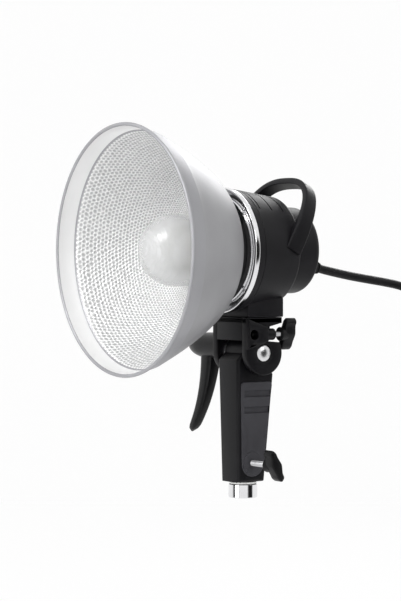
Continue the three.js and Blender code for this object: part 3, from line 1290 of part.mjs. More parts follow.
// The tie goes round the bundle at the top of the coil.
function cordTie() {
  const inner = COIL_OUTER_RADIUS - COIL_PITCH * COIL_SPIRAL_TURNS - CORD_RADIUS - TIE_CLEARANCE;
  const outer = COIL_OUTER_RADIUS + CORD_RADIUS - COIL_PITCH / 4 + TIE_CLEARANCE;
  const front = coilCentre.y - CORD_RADIUS - TIE_CLEARANCE;
  const back = coilCentre.y + COIL_PITCH + CORD_RADIUS + TIE_CLEARANCE;
  const low = coilCentre.z + inner;
  const high = coilCentre.z + outer;
  const band = (grow) => block(
    [coilCentre.x - TIE_WIDTH / 2 - (grow ? 0 : CUT_OVERRUN), front - grow, low - grow],
    [coilCentre.x + TIE_WIDTH / 2 + (grow ? 0 : CUT_OVERRUN), back + grow, high + grow],
  );
  return cut(band(TIE_THICKNESS), band(0));
}

const tailStart = coilPoints[coilPoints.length - 1].clone().add(new THREE.Vector3(0, 0, -SEAT_GAP));
const tailEnd = tailStart.clone().add(new THREE.Vector3(0, 0, -TAIL_LENGTH));
const plugTopPlace = tailEnd.clone().add(new THREE.Vector3(0, 0, -SEAT_GAP));
const plugLow = -PLUG_BOOT_LENGTH - PLUG_LENGTH;

function cordPlug() {
  const bootRadius = (CORD_RADIUS + PLUG_RADIUS) / 2;
  return turned([
    [0, 0],
    [GLAND_TIP_RADIUS, 0],
    [bootRadius, -PLUG_BOOT_LENGTH],
    [PLUG_RADIUS, -PLUG_BOOT_LENGTH - CORD_RADIUS / 2],
    [PLUG_RADIUS, plugLow + PLUG_RING_LENGTH / 2],
    [PLUG_INSERT_RADIUS + CAP_WALL / 2, plugLow + PLUG_RING_LENGTH / 2],
    [PLUG_INSERT_RADIUS + CAP_WALL / 2, plugLow],
    [PLUG_INSERT_RADIUS, plugLow],
    [PLUG_INSERT_RADIUS, plugLow + PLUG_PIN_LENGTH + 2 * CUT_OVERRUN],
    [0, plugLow + PLUG_PIN_LENGTH + 2 * CUT_OVERRUN],
  ], SMALL_STEPS + 4, UP).translate(plugTopPlace.x, plugTopPlace.y, plugTopPlace.z);
}

function plugLockRing() {
  const inner = PLUG_INSERT_RADIUS + CAP_WALL / 2 + RUNNING_GAP;
  const top = plugLow + PLUG_RING_LENGTH / 2 - SEAT_GAP;
  const low = top - PLUG_RING_LENGTH;
  const sleeve = turned([
    [inner, low],
    [PLUG_RING_RADIUS, low],
    [PLUG_RING_RADIUS, top],
    [inner, top],
  ], SMALL_STEPS + 4, UP);
  return sleeve.translate(plugTopPlace.x, plugTopPlace.y, plugTopPlace.z);
}

// The plug's insulating insert with its contact pins.
function plugContacts() {
  const top = plugLow + PLUG_PIN_LENGTH + 2 * CUT_OVERRUN - SEAT_GAP;
  const face = plugLow + PLUG_PIN_LENGTH;
  const insert = rod(PLUG_INSERT_RADIUS - SEAT_GAP, [0, 0, top], [0, 0, face], SMALL_STEPS);
  const pins = around(PLUG_PIN_COUNT, PLUG_PIN_CIRCLE, Math.PI / 2).map(([x, y]) =>
    rod(PLUG_PIN_RADIUS, [x, y, face + CUT_OVERRUN / 2], [x, y, plugLow + SEAT_GAP], PIN_STEPS));
  return joined(insert, ...pins).translate(plugTopPlace.x, plugTopPlace.y, plugTopPlace.z);
}

add(head, 'cord_gland', cordGland(), blackRubber());
add(head, 'cord_run', tube(runPoints, CORD_RADIUS, CORD_SIDES, 14), blackRubber());
add(head, 'cord_coil', coilTube(), blackRubber());
add(head, 'cord_tie', cordTie(), blackRubber());
add(head, 'cord_tail', rod(CORD_RADIUS, tailStart.toArray(), tailEnd.toArray(), CORD_SIDES), blackRubber());
add(head, 'cord_plug', cordPlug(), blackPlastic());
add(head, 'plug_lock_ring', plugLockRing(), steel());
add(head, 'plug_contacts', plugContacts(), brass());

export default part;
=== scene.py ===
"""A studio flash head with a bowl reflector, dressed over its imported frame.

Metres. X points to the side with the tilt bolt's head, Y to the rear and Z up. The light shines towards -Y,
and the origin is the centre of the stand socket's lower rim.
"""

from __future__ import annotations

import logging
import math
from collections.abc import Callable, Sequence
from dataclasses import dataclass, field
from enum import Enum

import bpy
from mathutils import Matrix, Vector


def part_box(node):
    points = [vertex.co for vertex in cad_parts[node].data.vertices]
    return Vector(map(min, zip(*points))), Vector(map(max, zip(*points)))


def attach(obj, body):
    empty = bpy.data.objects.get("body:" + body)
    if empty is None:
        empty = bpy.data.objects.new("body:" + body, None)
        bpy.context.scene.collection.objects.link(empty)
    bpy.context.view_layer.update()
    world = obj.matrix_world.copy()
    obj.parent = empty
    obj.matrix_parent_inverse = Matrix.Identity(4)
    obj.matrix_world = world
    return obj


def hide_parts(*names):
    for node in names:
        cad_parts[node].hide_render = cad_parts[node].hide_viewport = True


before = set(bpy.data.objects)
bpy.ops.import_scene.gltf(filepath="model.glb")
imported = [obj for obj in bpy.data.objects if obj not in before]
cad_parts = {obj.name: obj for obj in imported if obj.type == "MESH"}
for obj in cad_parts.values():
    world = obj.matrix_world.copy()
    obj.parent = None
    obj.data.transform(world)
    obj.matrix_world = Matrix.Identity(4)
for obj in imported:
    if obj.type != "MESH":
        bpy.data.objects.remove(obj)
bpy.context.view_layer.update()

LOG = logging.getLogger("studio_flash")
FULL_TURN = 2 * math.pi
QUARTER_TURN = math.pi / 2
ORIGIN = Vector((0, 0, 0))
X_AXIS = Vector((1, 0, 0))
UP = Vector((0, 0, 1))
FORWARD = Vector((0, -1, 0))
TILT_CENTRE = Vector((0, 0.0055, 0.152))
HEAD_CENTRE = Vector((0, 0.0055, 0.259))
GAP = 0.0003  # between pieces that meet
TIP = 0.0002  # what a turned piece's radius of zero becomes
NOTHING = 1e-6
MOULDED_ANGLE = 34.0  # degrees, above which a moulding's edge stays sharp
WHITE = (1.0, 1.0, 1.0)
PALE = (0.93, 0.93, 0.93)
PALEST = (0.96, 0.96, 0.96)

Number = float | int
Colour = tuple[float, float, float]
Spot = tuple[float, float]
Profile = Sequence[Spot]
Outline = list[Spot]
Piece = bpy.types.Object


# Shader signals


class Signal:
    """One output socket of a shader node, on which shader maths is written as plain expressions."""

    def __init__(self, graph: Graph, socket: bpy.types.NodeSocket) -> None:
        """Wraps a socket.

        Args:
            graph: The material's graph, in which new nodes are made.
            socket: The output socket.
        """
        self.graph = graph
        self.socket = socket

    def combine(self, operation: str, first: Signal | Number, second: Signal | Number) -> Signal:
        """Joins two values with a Math node.

        Args:
            operation: The Math node's operation.
            first: The first value.
            second: The second value.

        Returns:
            The node's value.
        """
        return self.graph.node("ShaderNodeMath", {"operation": operation}, {0: first, 1: second})

    def __add__(self, other: Signal | Number) -> Signal:
        """The sum with another value."""
        return self.combine("ADD", self, other)

    def __radd__(self, other: Number) -> Signal:
        """The sum of a number and this value."""
        return self.combine("ADD", other, self)

    def __sub__(self, other: Signal | Number) -> Signal:
        """This value less another."""
        return self.combine("SUBTRACT", self, other)

    def __rsub__(self, other: Number) -> Signal:
        """A number less this value."""
        return self.combine("SUBTRACT", other, self)

    def __mul__(self, other: Signal | Number) -> Signal:
        """The product with another value."""
        return self.combine("MULTIPLY", self, other)

    def __truediv__(self, other: Signal | Number) -> Signal:
        """This value over another."""
        return self.combine("DIVIDE", self, other)

    def __mod__(self, other: Signal | Number) -> Signal:
        """This value wrapped into the range from zero to another."""
        return self.combine("FLOORED_MODULO", self, other)

    def least(self, other: Signal | Number) -> Signal:
        """The lesser of this value and another."""
        return self.combine("MINIMUM", self, other)

    def root(self) -> Signal:
        """This value's square root."""
        return self.combine("SQRT", self, 0)

    def clamped(self) -> Signal:
        """This value kept between 0 and 1."""
        return self.graph.node("ShaderNodeClamp", {}, {"Value": self})

    def between(self, low: Number, high: Number) -> Signal:
        """This value's share of the way from one number to another, kept between 0 and 1."""
        return ((self - low) / (high - low)).clamped()

    def hollow(self, pitch: Number) -> Signal:
        """A value that rises from 0 at the middle of each pitch to 1 at its ends."""
        middle = ((self / pitch) % 1) - 0.5
        return middle * middle * 4


class Graph:
    """The nodes of a material or of the world, with one method that makes every node."""

    def __init__(self, owner: bpy.types.Material | bpy.types.World) -> None:
        """Empties a material or world, ready for new nodes.

        Args:
            owner: What the nodes belong to.
        """
        self.owner = owner
        self.owner.use_nodes = True
        self.tree = self.owner.node_tree
        self.tree.nodes.clear()

    def node(self, kind: str, settings: dict[str, object], inputs: dict[str | int, object],
             output: str | int = 0) -> Signal:
        """Makes one node.

        Args:
            kind: The node's type.
            settings: Values of the node's own settings; "stops" holds a ramp's places and colours.
            inputs: Numbers, colours or signals for its sockets, by name or number.
            output: The output that the result wraps.

        Returns:
            The chosen output.
        """
        made = self.tree.nodes.new(kind)
        for key, value in settings.items():
            if key == "stops":
                ramp = made.color_ramp.elements
                while len(ramp) < len(value):
                    ramp.new(1)
                for stop, (place, colour) in zip(ramp, value):
                    stop.position = place
                    stop.color = (*colour, 1)
            else:
                setattr(made, key, value)
        for key, value in inputs.items():
            socket = made.inputs[key]
            if isinstance(value, Signal):
                self.tree.links.new(value.socket, socket)
            elif isinstance(value, tuple) and len(value) == 3 and socket.type == "RGBA":
                socket.default_value = (*value, 1)
            else:
                socket.default_value = value
        return Signal(self, made.outputs[output])

    def place(self) -> Signal:
        """The point on the surface, in metres."""
        return self.node("ShaderNodeTexCoord", {}, {}, "Object")

    def axis(self, name: str) -> Signal:
        """One of the surface point's three values, in metres."""
        return self.node("ShaderNodeSeparateXYZ", {}, {0: self.place()}, name)

    def noise(self, scale: float, detail: float = 2.0, roughness: float = 0.5) -> Signal:
        """Soft noise over the surface.

        Args:
            scale: Cells in a metre.
            detail: Layers of finer noise.
            roughness: Strength of the finer layers.

        Returns:
            A value round 0.5.
        """
        inputs = {"Vector": self.place(), "Scale": scale, "Detail": detail, "Roughness": roughness}
        return self.node("ShaderNodeTexNoise", {}, inputs, 0)

    def mix(self, share: Signal | Number, first: object, second: object) -> Signal:
        """A colour between two colours.

        Args:
            share: Share of the second colour.
            first: Colour where the share is 0.
            second: Colour where the share is 1.

        Returns:
            The mixed colour.
        """
        settings = {"data_type": "RGBA"}
        return self.node("ShaderNodeMix", settings, {0: share, 6: first, 7: second}, 2)

    def bump(self, height: Signal, distance: float) -> Signal:
        """A normal that follows a height from 0 to 1, where 1 means a distance in metres."""
        return self.node("ShaderNodeBump", {}, {"Strength": 1.0, "Distance": distance, "Height": height})

    def dot(self, way: Signal, other: Sequence[float]) -> Signal:
        """The dot product of a direction and a fixed vector."""
        return self.node("ShaderNodeVectorMath", {"operation": "DOT_PRODUCT"}, {0: way, 1: tuple(other)}, "Value")

    def blend(self, share: Signal, first: Signal, second: Signal) -> Signal:
        """A shader between two shaders, by the second one's share."""
        return self.node("ShaderNodeMixShader", {}, {0: share, 1: first, 2: second})

    def rays(self) -> list[Signal]:
        """Whether the camera, a glossy and a transmitted ray look at the surface."""
        return [self.node("ShaderNodeLightPath", {}, {}, f"Is {ray} Ray")
                for ray in ("Camera", "Glossy", "Transmission")]

    def finish(self, **sockets: object) -> bpy.types.Material:
        """Ends the material with a Principled shader.

        Args:
            sockets: The shader's values, with _ for the spaces of the sockets' names.

        Returns:
            The material.
        """
        inputs = {key.replace("_", " "): value for key, value in sockets.items()}
        shader = self.node("ShaderNodeBsdfPrincipled", {}, inputs)
        self.node_output(shader)
        return self.owner

    def node_output(self, shader: Signal, kind: str = "ShaderNodeOutputMaterial") -> None:
        """Links a shader to the output."""
        output = self.tree.nodes.new(kind)
        self.tree.links.new(shader.socket, output.inputs["Surface"])


# Finishes


@dataclass(frozen=True)
class Finish:
    """A surface finish, whose material is made once and shared."""

    name: str

    def material(self) -> bpy.types.Material:
        """The finish's material, made at its first use."""
        found = bpy.data.materials.get(self.name)
        return found or self.shade(Graph(bpy.data.materials.new(self.name)))

    def shade(self, graph: Graph) -> bpy.types.Material:
        """Builds the material in an empty graph."""
        return graph.finish()


@dataclass(frozen=True)
class MouldedPlastic(Finish):
    """Moulded plastic with a fine spark-eroded grain."""

    colour: Colour = (0.0048, 0.0045, 0.0058)
    rub: Colour = (0.0095, 0.009, 0.0112)
    roughness: float = 0.43
    grain: float = 1500.0
    grain_depth: float = 0.00008
    sheen: float = 0.17

    def shade(self, graph: Graph) -> bpy.types.Material:
        """Grain from two sizes of noise, and a slightly greyer film in broad patches."""
        patches = graph.noise(28, 3, 0.6).between(0.42, 0.68)
        grain = graph.noise(self.grain, 3, 0.65)
        speckle = graph.noise(self.grain * 0.45, 1)
        colour = graph.mix((patches * 0.6 + grain * 0.4).clamped(), self.colour, self.rub)
        rough = patches * 0.07 + grain * 0.1 + (self.roughness - 0.07)
        height = grain * 0.7 + speckle * 0.3
        return graph.finish(Base_Color=colour, Roughness=rough, Specular_IOR_Level=self.sheen,
                            Normal=graph.bump(height, self.grain_depth))


@dataclass(frozen=True)
class SpunAluminium(Finish):
    """Satin aluminium with fine rings from spinning, along the light's axis."""

    colour: Colour = (0.31, 0.31, 0.321)
    light: Colour = (0.38, 0.38, 0.393)
    roughness: float = 0.42
    ring_pitch: float = 0.0011
    metallic: float = 0.45

    def shade(self, graph: Graph) -> bpy.types.Material:
        """Rings whose place along the axis wavers a little, over broad cloudy patches."""
        along = graph.axis("Y")
        waver = graph.noise(14, 2) * 0.0016
        groove = (along + waver).hollow(self.ring_pitch)
        fine = graph.noise(900, 3, 0.7)
        cloud = graph.noise(16, 3).between(0.35, 0.7)
        colour = graph.mix((cloud * 0.7 + fine * 0.3).clamped(), self.colour, self.light)
        rough = cloud * 0.06 + fine * 0.08 + (self.roughness - 0.06)
        return graph.finish(Base_Color=colour, Metallic=self.metallic, Roughness=rough, Specular_IOR_Level=0.3,
                            Normal=graph.bump(groove * 0.6 + fine * 0.4, 0.000018))


@dataclass(frozen=True)
class DimpledReflector(Finish):
    """Bright anodised aluminium pressed with rows of round dimples."""

    colour: Colour = (0.93, 0.93, 0.93)
    # Painted shade: the darker colour at each dimple's middle, for the shade inside the dimples.
    hollow: Colour = (0.42, 0.42, 0.425)
    columns: int = 152
    depth: float = 0.0006

    def shade(self, graph: Graph) -> bpy.types.Material:
        """Two square lattices of dimples, each in the other's gaps, on the bowl's own wrapped grid."""
        grid = graph.node("ShaderNodeUVMap", {"uv_map": "grid"}, {})
        around = graph.node("ShaderNodeSeparateXYZ", {}, {0: grid}, "X")
        across = graph.node("ShaderNodeSeparateXYZ", {}, {0: grid}, "Y")
        stray = (graph.noise(150, 1) - 0.5) * 0.7
        column = around * self.columns + stray
        row = across * self.columns + stray * 0.8
        tall = math.sqrt(3)

        def lattice(shift: float) -> Signal:
            """Squared distance from the nearest dimple of one lattice, which is moved by a share of a cell."""
            side = ((column + shift) % 1) - 0.5
            rise = ((row + shift * tall) % tall) - tall / 2
            return side * side + rise * rise

        nearest = lattice(0).least(lattice(0.5))
        cup = (nearest * 3.9).clamped()
        fine = graph.noise(1400, 2)
        # Each dimple's middle is darkened towards the hollow colour: painted shade in the dimples.
        colour = graph.mix(1 - cup, self.colour, self.hollow)
        rough = 0.26 + fine * 0.1 + (1 - cup) * 0.08
        return graph.finish(Base_Color=colour, Metallic=0.3, Roughness=rough,
                            Normal=graph.bump(cup + fine * 0.02, self.depth))


@dataclass(frozen=True)
class Noise:
    """A layer of noise: its scale in cells a metre, its detail and roughness, and what it adds to the surface."""

    scale: float
    detail: float
    harshness: float
    tone: float
    rough: float


@dataclass(frozen=True)
class Worn(Finish):
    """A surface with broad worn patches over a fine grain, which a bump follows."""

    colour: Colour
    worn: Colour
    roughness: float
    metallic: float
    sheen: float
    patches: Noise
    edge: Spot
    grain: Noise
    depth: float

    def shade(self, graph: Graph) -> bpy.types.Material:
        """Mixes both layers into the colour and the roughness."""
        patches, grain = (graph.noise(layer.scale, layer.detail, layer.harshness)
                          for layer in (self.patches, self.grain))
        patches = patches.between(*self.edge)
        tone = (patches * self.patches.tone + grain * self.grain.tone).clamped()
        rough = patches * self.patches.rough + grain * self.grain.rough + self.roughness
        return graph.finish(Base_Color=graph.mix(tone, self.colour, self.worn), Metallic=self.metallic,
                            Roughness=rough, Specular_IOR_Level=self.sheen, Normal=graph.bump(grain, self.depth))


def bright_plate(name: str) -> Worn:
    """Bright plating over turned metal, with faint haze and fine turning marks."""
    return Worn(name, (0.82, 0.82, 0.83), (0.66, 0.66, 0.68), 0.09, 1.0, 0.5, Noise(45, 3, 0.5, 0.5, 0.07),
                (0.45, 0.75), Noise(1600, 2, 0.5, 0.0, 0.04), 0.000006)


def bare_metal(name: str, colour: Colour = (0.46, 0.46, 0.47), worn: Colour = (0.62, 0.62, 0.63),
               roughness: float = 0.33) -> Worn:
    """Brushed or turned metal, with fine scratches and lighter rubbed patches."""
    return Worn(name, colour, worn, roughness - 0.08, 1.0, 0.5, Noise(60, 4, 0.6, 0.6, 0.04), (0.4, 0.7),
                Noise(2100, 4, 0.75, 0.4, 0.15), 0.00001)


def enamel(name: str) -> Worn:
    """Black stove enamel, with faint orange peel and a trace of dust."""
    return Worn(name, (0.012, 0.012, 0.013), (0.03, 0.03, 0.032), 0.26, 0.0, 0.3, Noise(35, 3, 0.6, 1.0, 0.2),
                (0.5, 0.8), Noise(420, 2, 0.5, 0.0, 0.06), 0.00004)


def fired_clay(name: str) -> Worn:
    """Unglazed lamp ceramic, with a chalky grain and faint warm stains."""
    return Worn(name, (0.80, 0.77, 0.70), (0.66, 0.60, 0.50), 0.6, 0.0, 0.5, Noise(40, 3, 0.5, 0.7, 0.0),
                (0.5, 0.8), Noise(900, 4, 0.7, 0.2, 0.2), 0.00006)


@dataclass(frozen=True)
class ClearGlass(Finish):
    """Heat-proof glass with fine rings round the light's axis, which blur what is behind them."""

    tint: Colour = (0.985, 0.99, 0.99)
    roughness: float = 0.13
    pitch: float = 0.0034

    def shade(self, graph: Graph) -> bpy.types.Material:
        """Rings that wander a little, and a haze."""
        side, rise = graph.axis("X"), graph.axis("Z") - HEAD_CENTRE.z
        stray = graph.noise(60, 2) * 0.006
        swell = ((side * side + rise * rise).root() + stray).hollow(self.pitch)
        haze = graph.noise(70, 2)
        return graph.finish(Base_Color=self.tint, Roughness=haze * 0.08 + self.roughness, IOR=1.45,
                            Transmission_Weight=0.72, Normal=graph.bump(swell, 0.00016))


@dataclass(frozen=True)
class Frosted(Finish):
    """Etched quartz, milky and half clear."""

    tint: Colour = (0.93, 0.92, 0.88)

    def shade(self, graph: Graph) -> bpy.types.Material:
        """Even frost with a soft mottle."""
        mottle = graph.noise(240, 3, 0.6)
        colour = graph.mix(mottle, self.tint, (0.99, 0.98, 0.95))
        return graph.finish(Base_Color=colour, Roughness=mottle * 0.2 + 0.3, IOR=1.45,
                            Transmission_Weight=0.8, Normal=graph.bump(mottle, 0.00003))


@dataclass(frozen=True)
class Winding(Finish):
    """A varnished coil of fine copper wire."""

    colour: Colour = (0.36, 0.12, 0.04)
    pitch: float = 0.0008

    def shade(self, graph: Graph) -> bpy.types.Material:
        """Turns of wire along the light's axis under uneven varnish, with painted shade in the gaps between the
        turns.
        """
        crown = 1 - graph.axis("Y").hollow(self.pitch)
        varnish = graph.noise(90, 3)
        # Darker towards the gaps between turns: painted shade between the wires, over the varnish's uneven tone.
        colour = graph.mix(crown * varnish, (0.10, 0.03, 0.01), self.colour)
        return graph.finish(Base_Color=colour, Roughness=varnish * 0.3 + 0.15, Metallic=0.4,
                            Normal=graph.bump(crown, 0.0002))


@dataclass(frozen=True)
class Palette:
    """The finishes of the whole flash."""

    shell: Finish = MouldedPlastic("shell_plastic")
    grip: Finish = MouldedPlastic("grip_plastic", (0.0045, 0.0043, 0.0055), (0.009, 0.0088, 0.0105), 0.4, 1300.0)
    panel: Finish = MouldedPlastic("panel_rubber", (0.045, 0.0442, 0.05), (0.066, 0.065, 0.073), 0.5, 1100.0)
    knob: Finish = MouldedPlastic("knob_plastic", (0.005, 0.005, 0.0055), (0.01, 0.01, 0.011), 0.34, 1800.0)
    lever: Finish = MouldedPlastic("lever_plastic", (0.005, 0.005, 0.0055), (0.01, 0.01, 0.011), 0.3, 2000.0)
    cord: Finish = MouldedPlastic("cord_rubber", (0.006, 0.006, 0.0065), (0.012, 0.012, 0.013), 0.42, 1400.0)
    nylon: Finish = MouldedPlastic("white_nylon", (0.80, 0.80, 0.78), (0.88, 0.88, 0.87), 0.42, 900.0, 0.00004, 0.5)
    spun: Finish = SpunAluminium("satin_spun_metal")
    dimpled: Finish = DimpledReflector("dimpled_reflector")
    band: Finish = SpunAluminium("rim_band", (0.84, 0.84, 0.84), (0.9, 0.9, 0.9), 0.4, 0.0009, 0.15)
    rim: Finish = SpunAluminium("rolled_rim", (0.33, 0.33, 0.346), (0.4, 0.4, 0.418), 0.45, 0.0009)
    chrome: Finish = bright_plate("bright_plate")
    bolt: Finish = bare_metal("polished_bolt", (0.62, 0.62, 0.63), (0.8, 0.8, 0.81), 0.24)
    steel: Finish = bare_metal("plain_steel")
    brass: Finish = bare_metal("turned_brass", (0.55, 0.38, 0.14), (0.72, 0.55, 0.26), 0.3)
    enamel: Finish = enamel("black_enamel")
    glass: Finish = ClearGlass("dome_glass")
    quartz: Finish = Frosted("frosted_quartz")
    ceramic: Finish = fired_clay("lamp_ceramic")
    winding: Finish = Winding("varnished_winding")


PALETTE = Palette()


class Slot(Enum):
    """The record's material slots, one of which is passed with each piece made here."""

    ALUMINIUM = "spun_aluminium"
    ENAMEL = "black_metal"
    STEEL = "steel"
    CHROME = "chrome"
    PLASTIC = "black_plastic"
    RUBBER = "rubber"
    GLASS = "glass"
    NYLON = "nylon"


class Body(Enum):
    """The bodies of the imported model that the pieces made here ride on."""

    GRIP = "grip"
    HEAD = "head"
    REFLECTOR = "reflector"
    LEVER = "lever"
    STAND_SCREW = "stand_screw"
    STAND_KNOB = "stand_knob"
    SHAFT_SCREW = "shaft_screw"
    SHAFT_KNOB = "shaft_knob"
    PLUG_RING = "plug_ring"


# Making meshes


def linked(name: str, data: bpy.types.ID) -> Piece:
    """Makes an object of mesh, curve, lamp or camera data, and puts it in the scene."""
    made = bpy.data.objects.new(name, data)
    bpy.context.scene.collection.objects.link(made)
    return made


def arc(centre: Spot, radius: float, start: float, end: float, steps: int,
        rise: float | None = None) -> Outline:
    """Points of an arc.

    Args:
        centre: Its centre.
        radius: Its radius.
        start: The angle of its first point.
        end: The angle of its last point.
        steps: Pieces of the arc.
        rise: The radius along the second direction, where it differs.

    Returns:
        The points, in order.
    """
    turns = [start + (end - start) * step / steps for step in range(steps + 1)]
    tall = radius if rise is None else rise
    return [(centre[0] + radius * math.cos(turn), centre[1] + tall * math.sin(turn)) for turn in turns]


def circle(centre: Spot, radius: float, steps: int = 40) -> Outline:
    """A round hole's outline."""
    return arc(centre, radius, 0, FULL_TURN, steps)[:-1]


def rectangle(low: Spot, high: Spot) -> Outline:
    """A rectangle's corners, from two opposite ones."""
    return [low, (high[0], low[1]), high, (low[0], high[1])]


def smooth(piece: Piece, angle: float = 32.0) -> None:
    """Shades a piece smooth, except at edges sharper than an angle in degrees."""
    piece.data.polygons.foreach_set("use_smooth", [True] * len(piece.data.polygons))
    piece.data.set_sharp_from_angle(angle=math.radians(angle))


def mesh_piece(name: str, points: Sequence[Vector], faces: Sequence[Sequence[int]],
               finishes: Sequence[Finish], angle: float = 32.0) -> Piece:
    """Makes an object from points and faces.

    Args:
        name: The piece's name.
        points: Its corners, in metres.
        faces: Corner numbers of each face.
        finishes: Its finishes, one for each material number.
        angle: Edges sharper than this many degrees stay sharp.

    Returns:
        The new object.
    """
    mesh = bpy.data.meshes.new(name)
    mesh.from_pydata([tuple(point) for point in points], [], [tuple(face) for face in faces])
    mesh.validate()
    for finish in finishes:
        mesh.materials.append(finish.material())
    piece = linked(name, mesh)
    smooth(piece, angle)
    return piece


def band_faces(ring: int, after: int, count: int) -> list[list[int]]:
    """The faces between two rings of count points each, by the rings' numbers."""
    return [[ring * count + side, ring * count + (side + 1) % count, after * count + (side + 1) % count,
             after * count + side] for side in range(count)]


def rings_piece(name: str, rings: Sequence[Sequence[Vector]], finish: Finish, angle: float = 32.0,
                loop: bool = False) -> Piece:
    """Makes a closed skin over rings of points.

    Args:
        name: The piece's name.
        rings: Rings with the same number of points each.
        finish: Its finish.
        angle: Edges sharper than this many degrees stay sharp.
        loop: Whether the last ring joins the first; otherwise a face closes each end.

    Returns:
        The new object.
    """
    count = len(rings[0])
    faces: list[list[int]] = []
    spans = len(rings) if loop else len(rings) - 1
    for ring in range(spans):
        faces += band_faces(ring, (ring + 1) % len(rings), count)
    if not loop:
        faces.append(list(range(count))[::-1])
        last = (len(rings) - 1) * count
        faces.append(list(range(last, last + count)))
    return outward(mesh_piece(name, [point for ring in rings for point in ring], faces, [finish], angle))


def basis(axis: Vector) -> Matrix:
    """A turn that takes Z to an axis."""
    return UP.rotation_difference(axis).to_matrix()


def lathe(name: str, profile: Profile, centre: Vector, axis: Vector, finish: Finish, steps: int = 64,
          closed: bool = False, angle: float = 32.0,
          ripple: Callable[[float, int], float] | None = None) -> Piece:
    """Turns a profile about an axis.

    Args:
        name: The piece's name.
        profile: Pairs of radius and place along the axis, in metres; a radius of zero becomes TIP.
        centre: The point from which places along the axis are counted.
        axis: The axis.
        finish: The piece's finish.
        steps: Facets round the axis.
        closed: Whether the profile ends where it starts.
        angle: Edges sharper than this many degrees stay sharp.
        ripple: Gives a factor on the radius from the angle round the axis and the profile point's number.

    Returns:
        The new object.
    """
    turn = basis(axis)
    rings = []
    for number, (radius, place) in enumerate(profile):
        ring = []
        for step in range(steps):
            around = FULL_TURN * step / steps
            reach = (radius if radius > NOTHING else TIP) * (ripple(around, number) if ripple else 1)
            ring.append(centre + turn @ Vector((reach * math.cos(around), reach * math.sin(around), place)))
        rings.append(ring)
    return rings_piece(name, rings, finish, angle, loop=closed)


def outward(piece: Piece) -> Piece:
    """Turns a closed piece's faces outwards, by the sign of its volume, and returns it."""
    mesh = piece.data
    mesh.calc_loop_triangles()
    volume = 0.0
    for triangle in mesh.loop_triangles:
        a, b, c = (mesh.vertices[corner].co for corner in triangle.vertices)
        volume += a.dot(b.cross(c))
    if volume < 0:
        mesh.flip_normals()
    return piece


def rounded(corner: Spot, before: Spot, after: Spot, radius: float,
            steps: int = 4) -> Outline:
    """Points of a rounded corner of a profile.

    Args:
        corner: The sharp corner.
        before: A point on the side that comes in.
        after: A point on the side that goes out.
        radius: How far along each side the rounding starts.
        steps: Pieces of the rounding.

    Returns:
        The points, in order.
    """
    middle = Vector(corner)
    start = middle + (Vector(before) - middle).normalized() * radius
    end = middle + (Vector(after) - middle).normalized() * radius
    points = []
    for step in range(steps + 1):
        share = step / steps
        point = start * (1 - share) ** 2 + middle * 2 * share * (1 - share) + end * share**2
        points.append((point.x, point.y))
    return points


def softened(corners: Profile, radius: float, steps: int = 3, closed: bool = True) -> Outline:
    """A profile with each corner rounded by the same amount.

    Args:
        corners: The sharp corners.
        radius: How far along each side a rounding starts.
        steps: Pieces of each rounding.
        closed: Whether the last corner joins the first; the ends of an open profile stay sharp.

    Returns:
        The rounded profile.
    """
    points: Outline = []
    count = len(corners)
    for number, corner in enumerate(corners):
        if not closed and number in (0, count - 1):
            points.append(corner)
            continue
        points += rounded(corner, corners[number - 1], corners[(number + 1) % count], radius, steps)
    return points


class Plane(Enum):
    """The plane that an outline is drawn in, and so the axis that it is pushed out along."""

    SIDE = ((0, 1, 0), (0, 0, 1), (1, 0, 0))
    FRONT = ((1, 0, 0), (0, 0, 1), (0, -1, 0))


def outlined(name: str, outlines: Sequence[Profile], low: float, high: float, bevel: float, plane: Plane,
             finish: Finish, steps: int = 2) -> Piece:
    """Pushes an outline out into a plate with rounded edges.

    Args:
        name: The piece's name.
        outlines: The outer outline, then those of its holes, in metres in the plane.
        low: Where the plate starts along the plane's own axis.
        high: Where it ends.
        bevel: Rounding of its edges.
        plane: The plane of the outlines.
        finish: The piece's finish.
        steps: Pieces of each rounding.

    Returns:
        The new object.
    """
    curve = bpy.data.curves.new(name, "CURVE")
    curve.dimensions = "2D"
    curve.fill_mode = "BOTH"
    curve.extrude = (high - low) / 2 - bevel
    curve.bevel_depth = bevel
    curve.bevel_resolution = steps
    curve.offset = -bevel
    for outline in outlines:
        spline = curve.splines.new("POLY")
        spline.points.add(len(outline) - 1)
        spline.use_cyclic_u = True
        for point, (across, along) in zip(spline.points, outline):
            point.co = (across, along, 0, 1)
    holder = linked(name + "_outline", curve)
    bpy.context.view_layer.update()
    mesh = bpy.data.meshes.new_from_object(holder)
    bpy.data.objects.remove(holder)
    bpy.data.curves.remove(curve)
    across, along, out = (Vector(axis) for axis in plane.value)
    turn = Matrix((across, along, out)).transposed().to_4x4()
    mesh.transform(turn @ Matrix.Translation((0, 0, (low + high) / 2)))
    mesh.name = name
    mesh.materials.clear()
    mesh.materials.append(finish.material())
    return welded(linked(name, mesh), 0.00001)


def welded(piece: Piece, reach: float) -> Piece:
    """Joins a piece's corners that lie within reach of each other, and shades it smooth."""
    weld = piece.modifiers.new("weld", "WELD")
    weld.merge_threshold = reach
    smooth(piece, MOULDED_ANGLE)
    return piece


def swept(name: str, points: Sequence[Vector], radius: float, finish: Finish, sides: int = 16) -> Piece:
    """Makes a round bar along points.

    Args:
        name: The piece's name.
        points: The bar's middle line.
        radius: Its radius.
        finish: Its finish.
        sides: Facets round it.

    Returns:
        The new object.
    """
    rings = []
    across = UP
    for number, point in enumerate(points):
        along = (points[min(number + 1, len(points) - 1)] - points[max(number - 1, 0)]).normalized()
        if abs(along.dot(across)) > 0.9:
            across = X_AXIS
        level = along.cross(across).normalized()
        across = level.cross(along).normalized()
        rings.append([point + across * a + level * b for a, b in circle((0, 0), radius, sides)])
    return rings_piece(name, rings, finish)


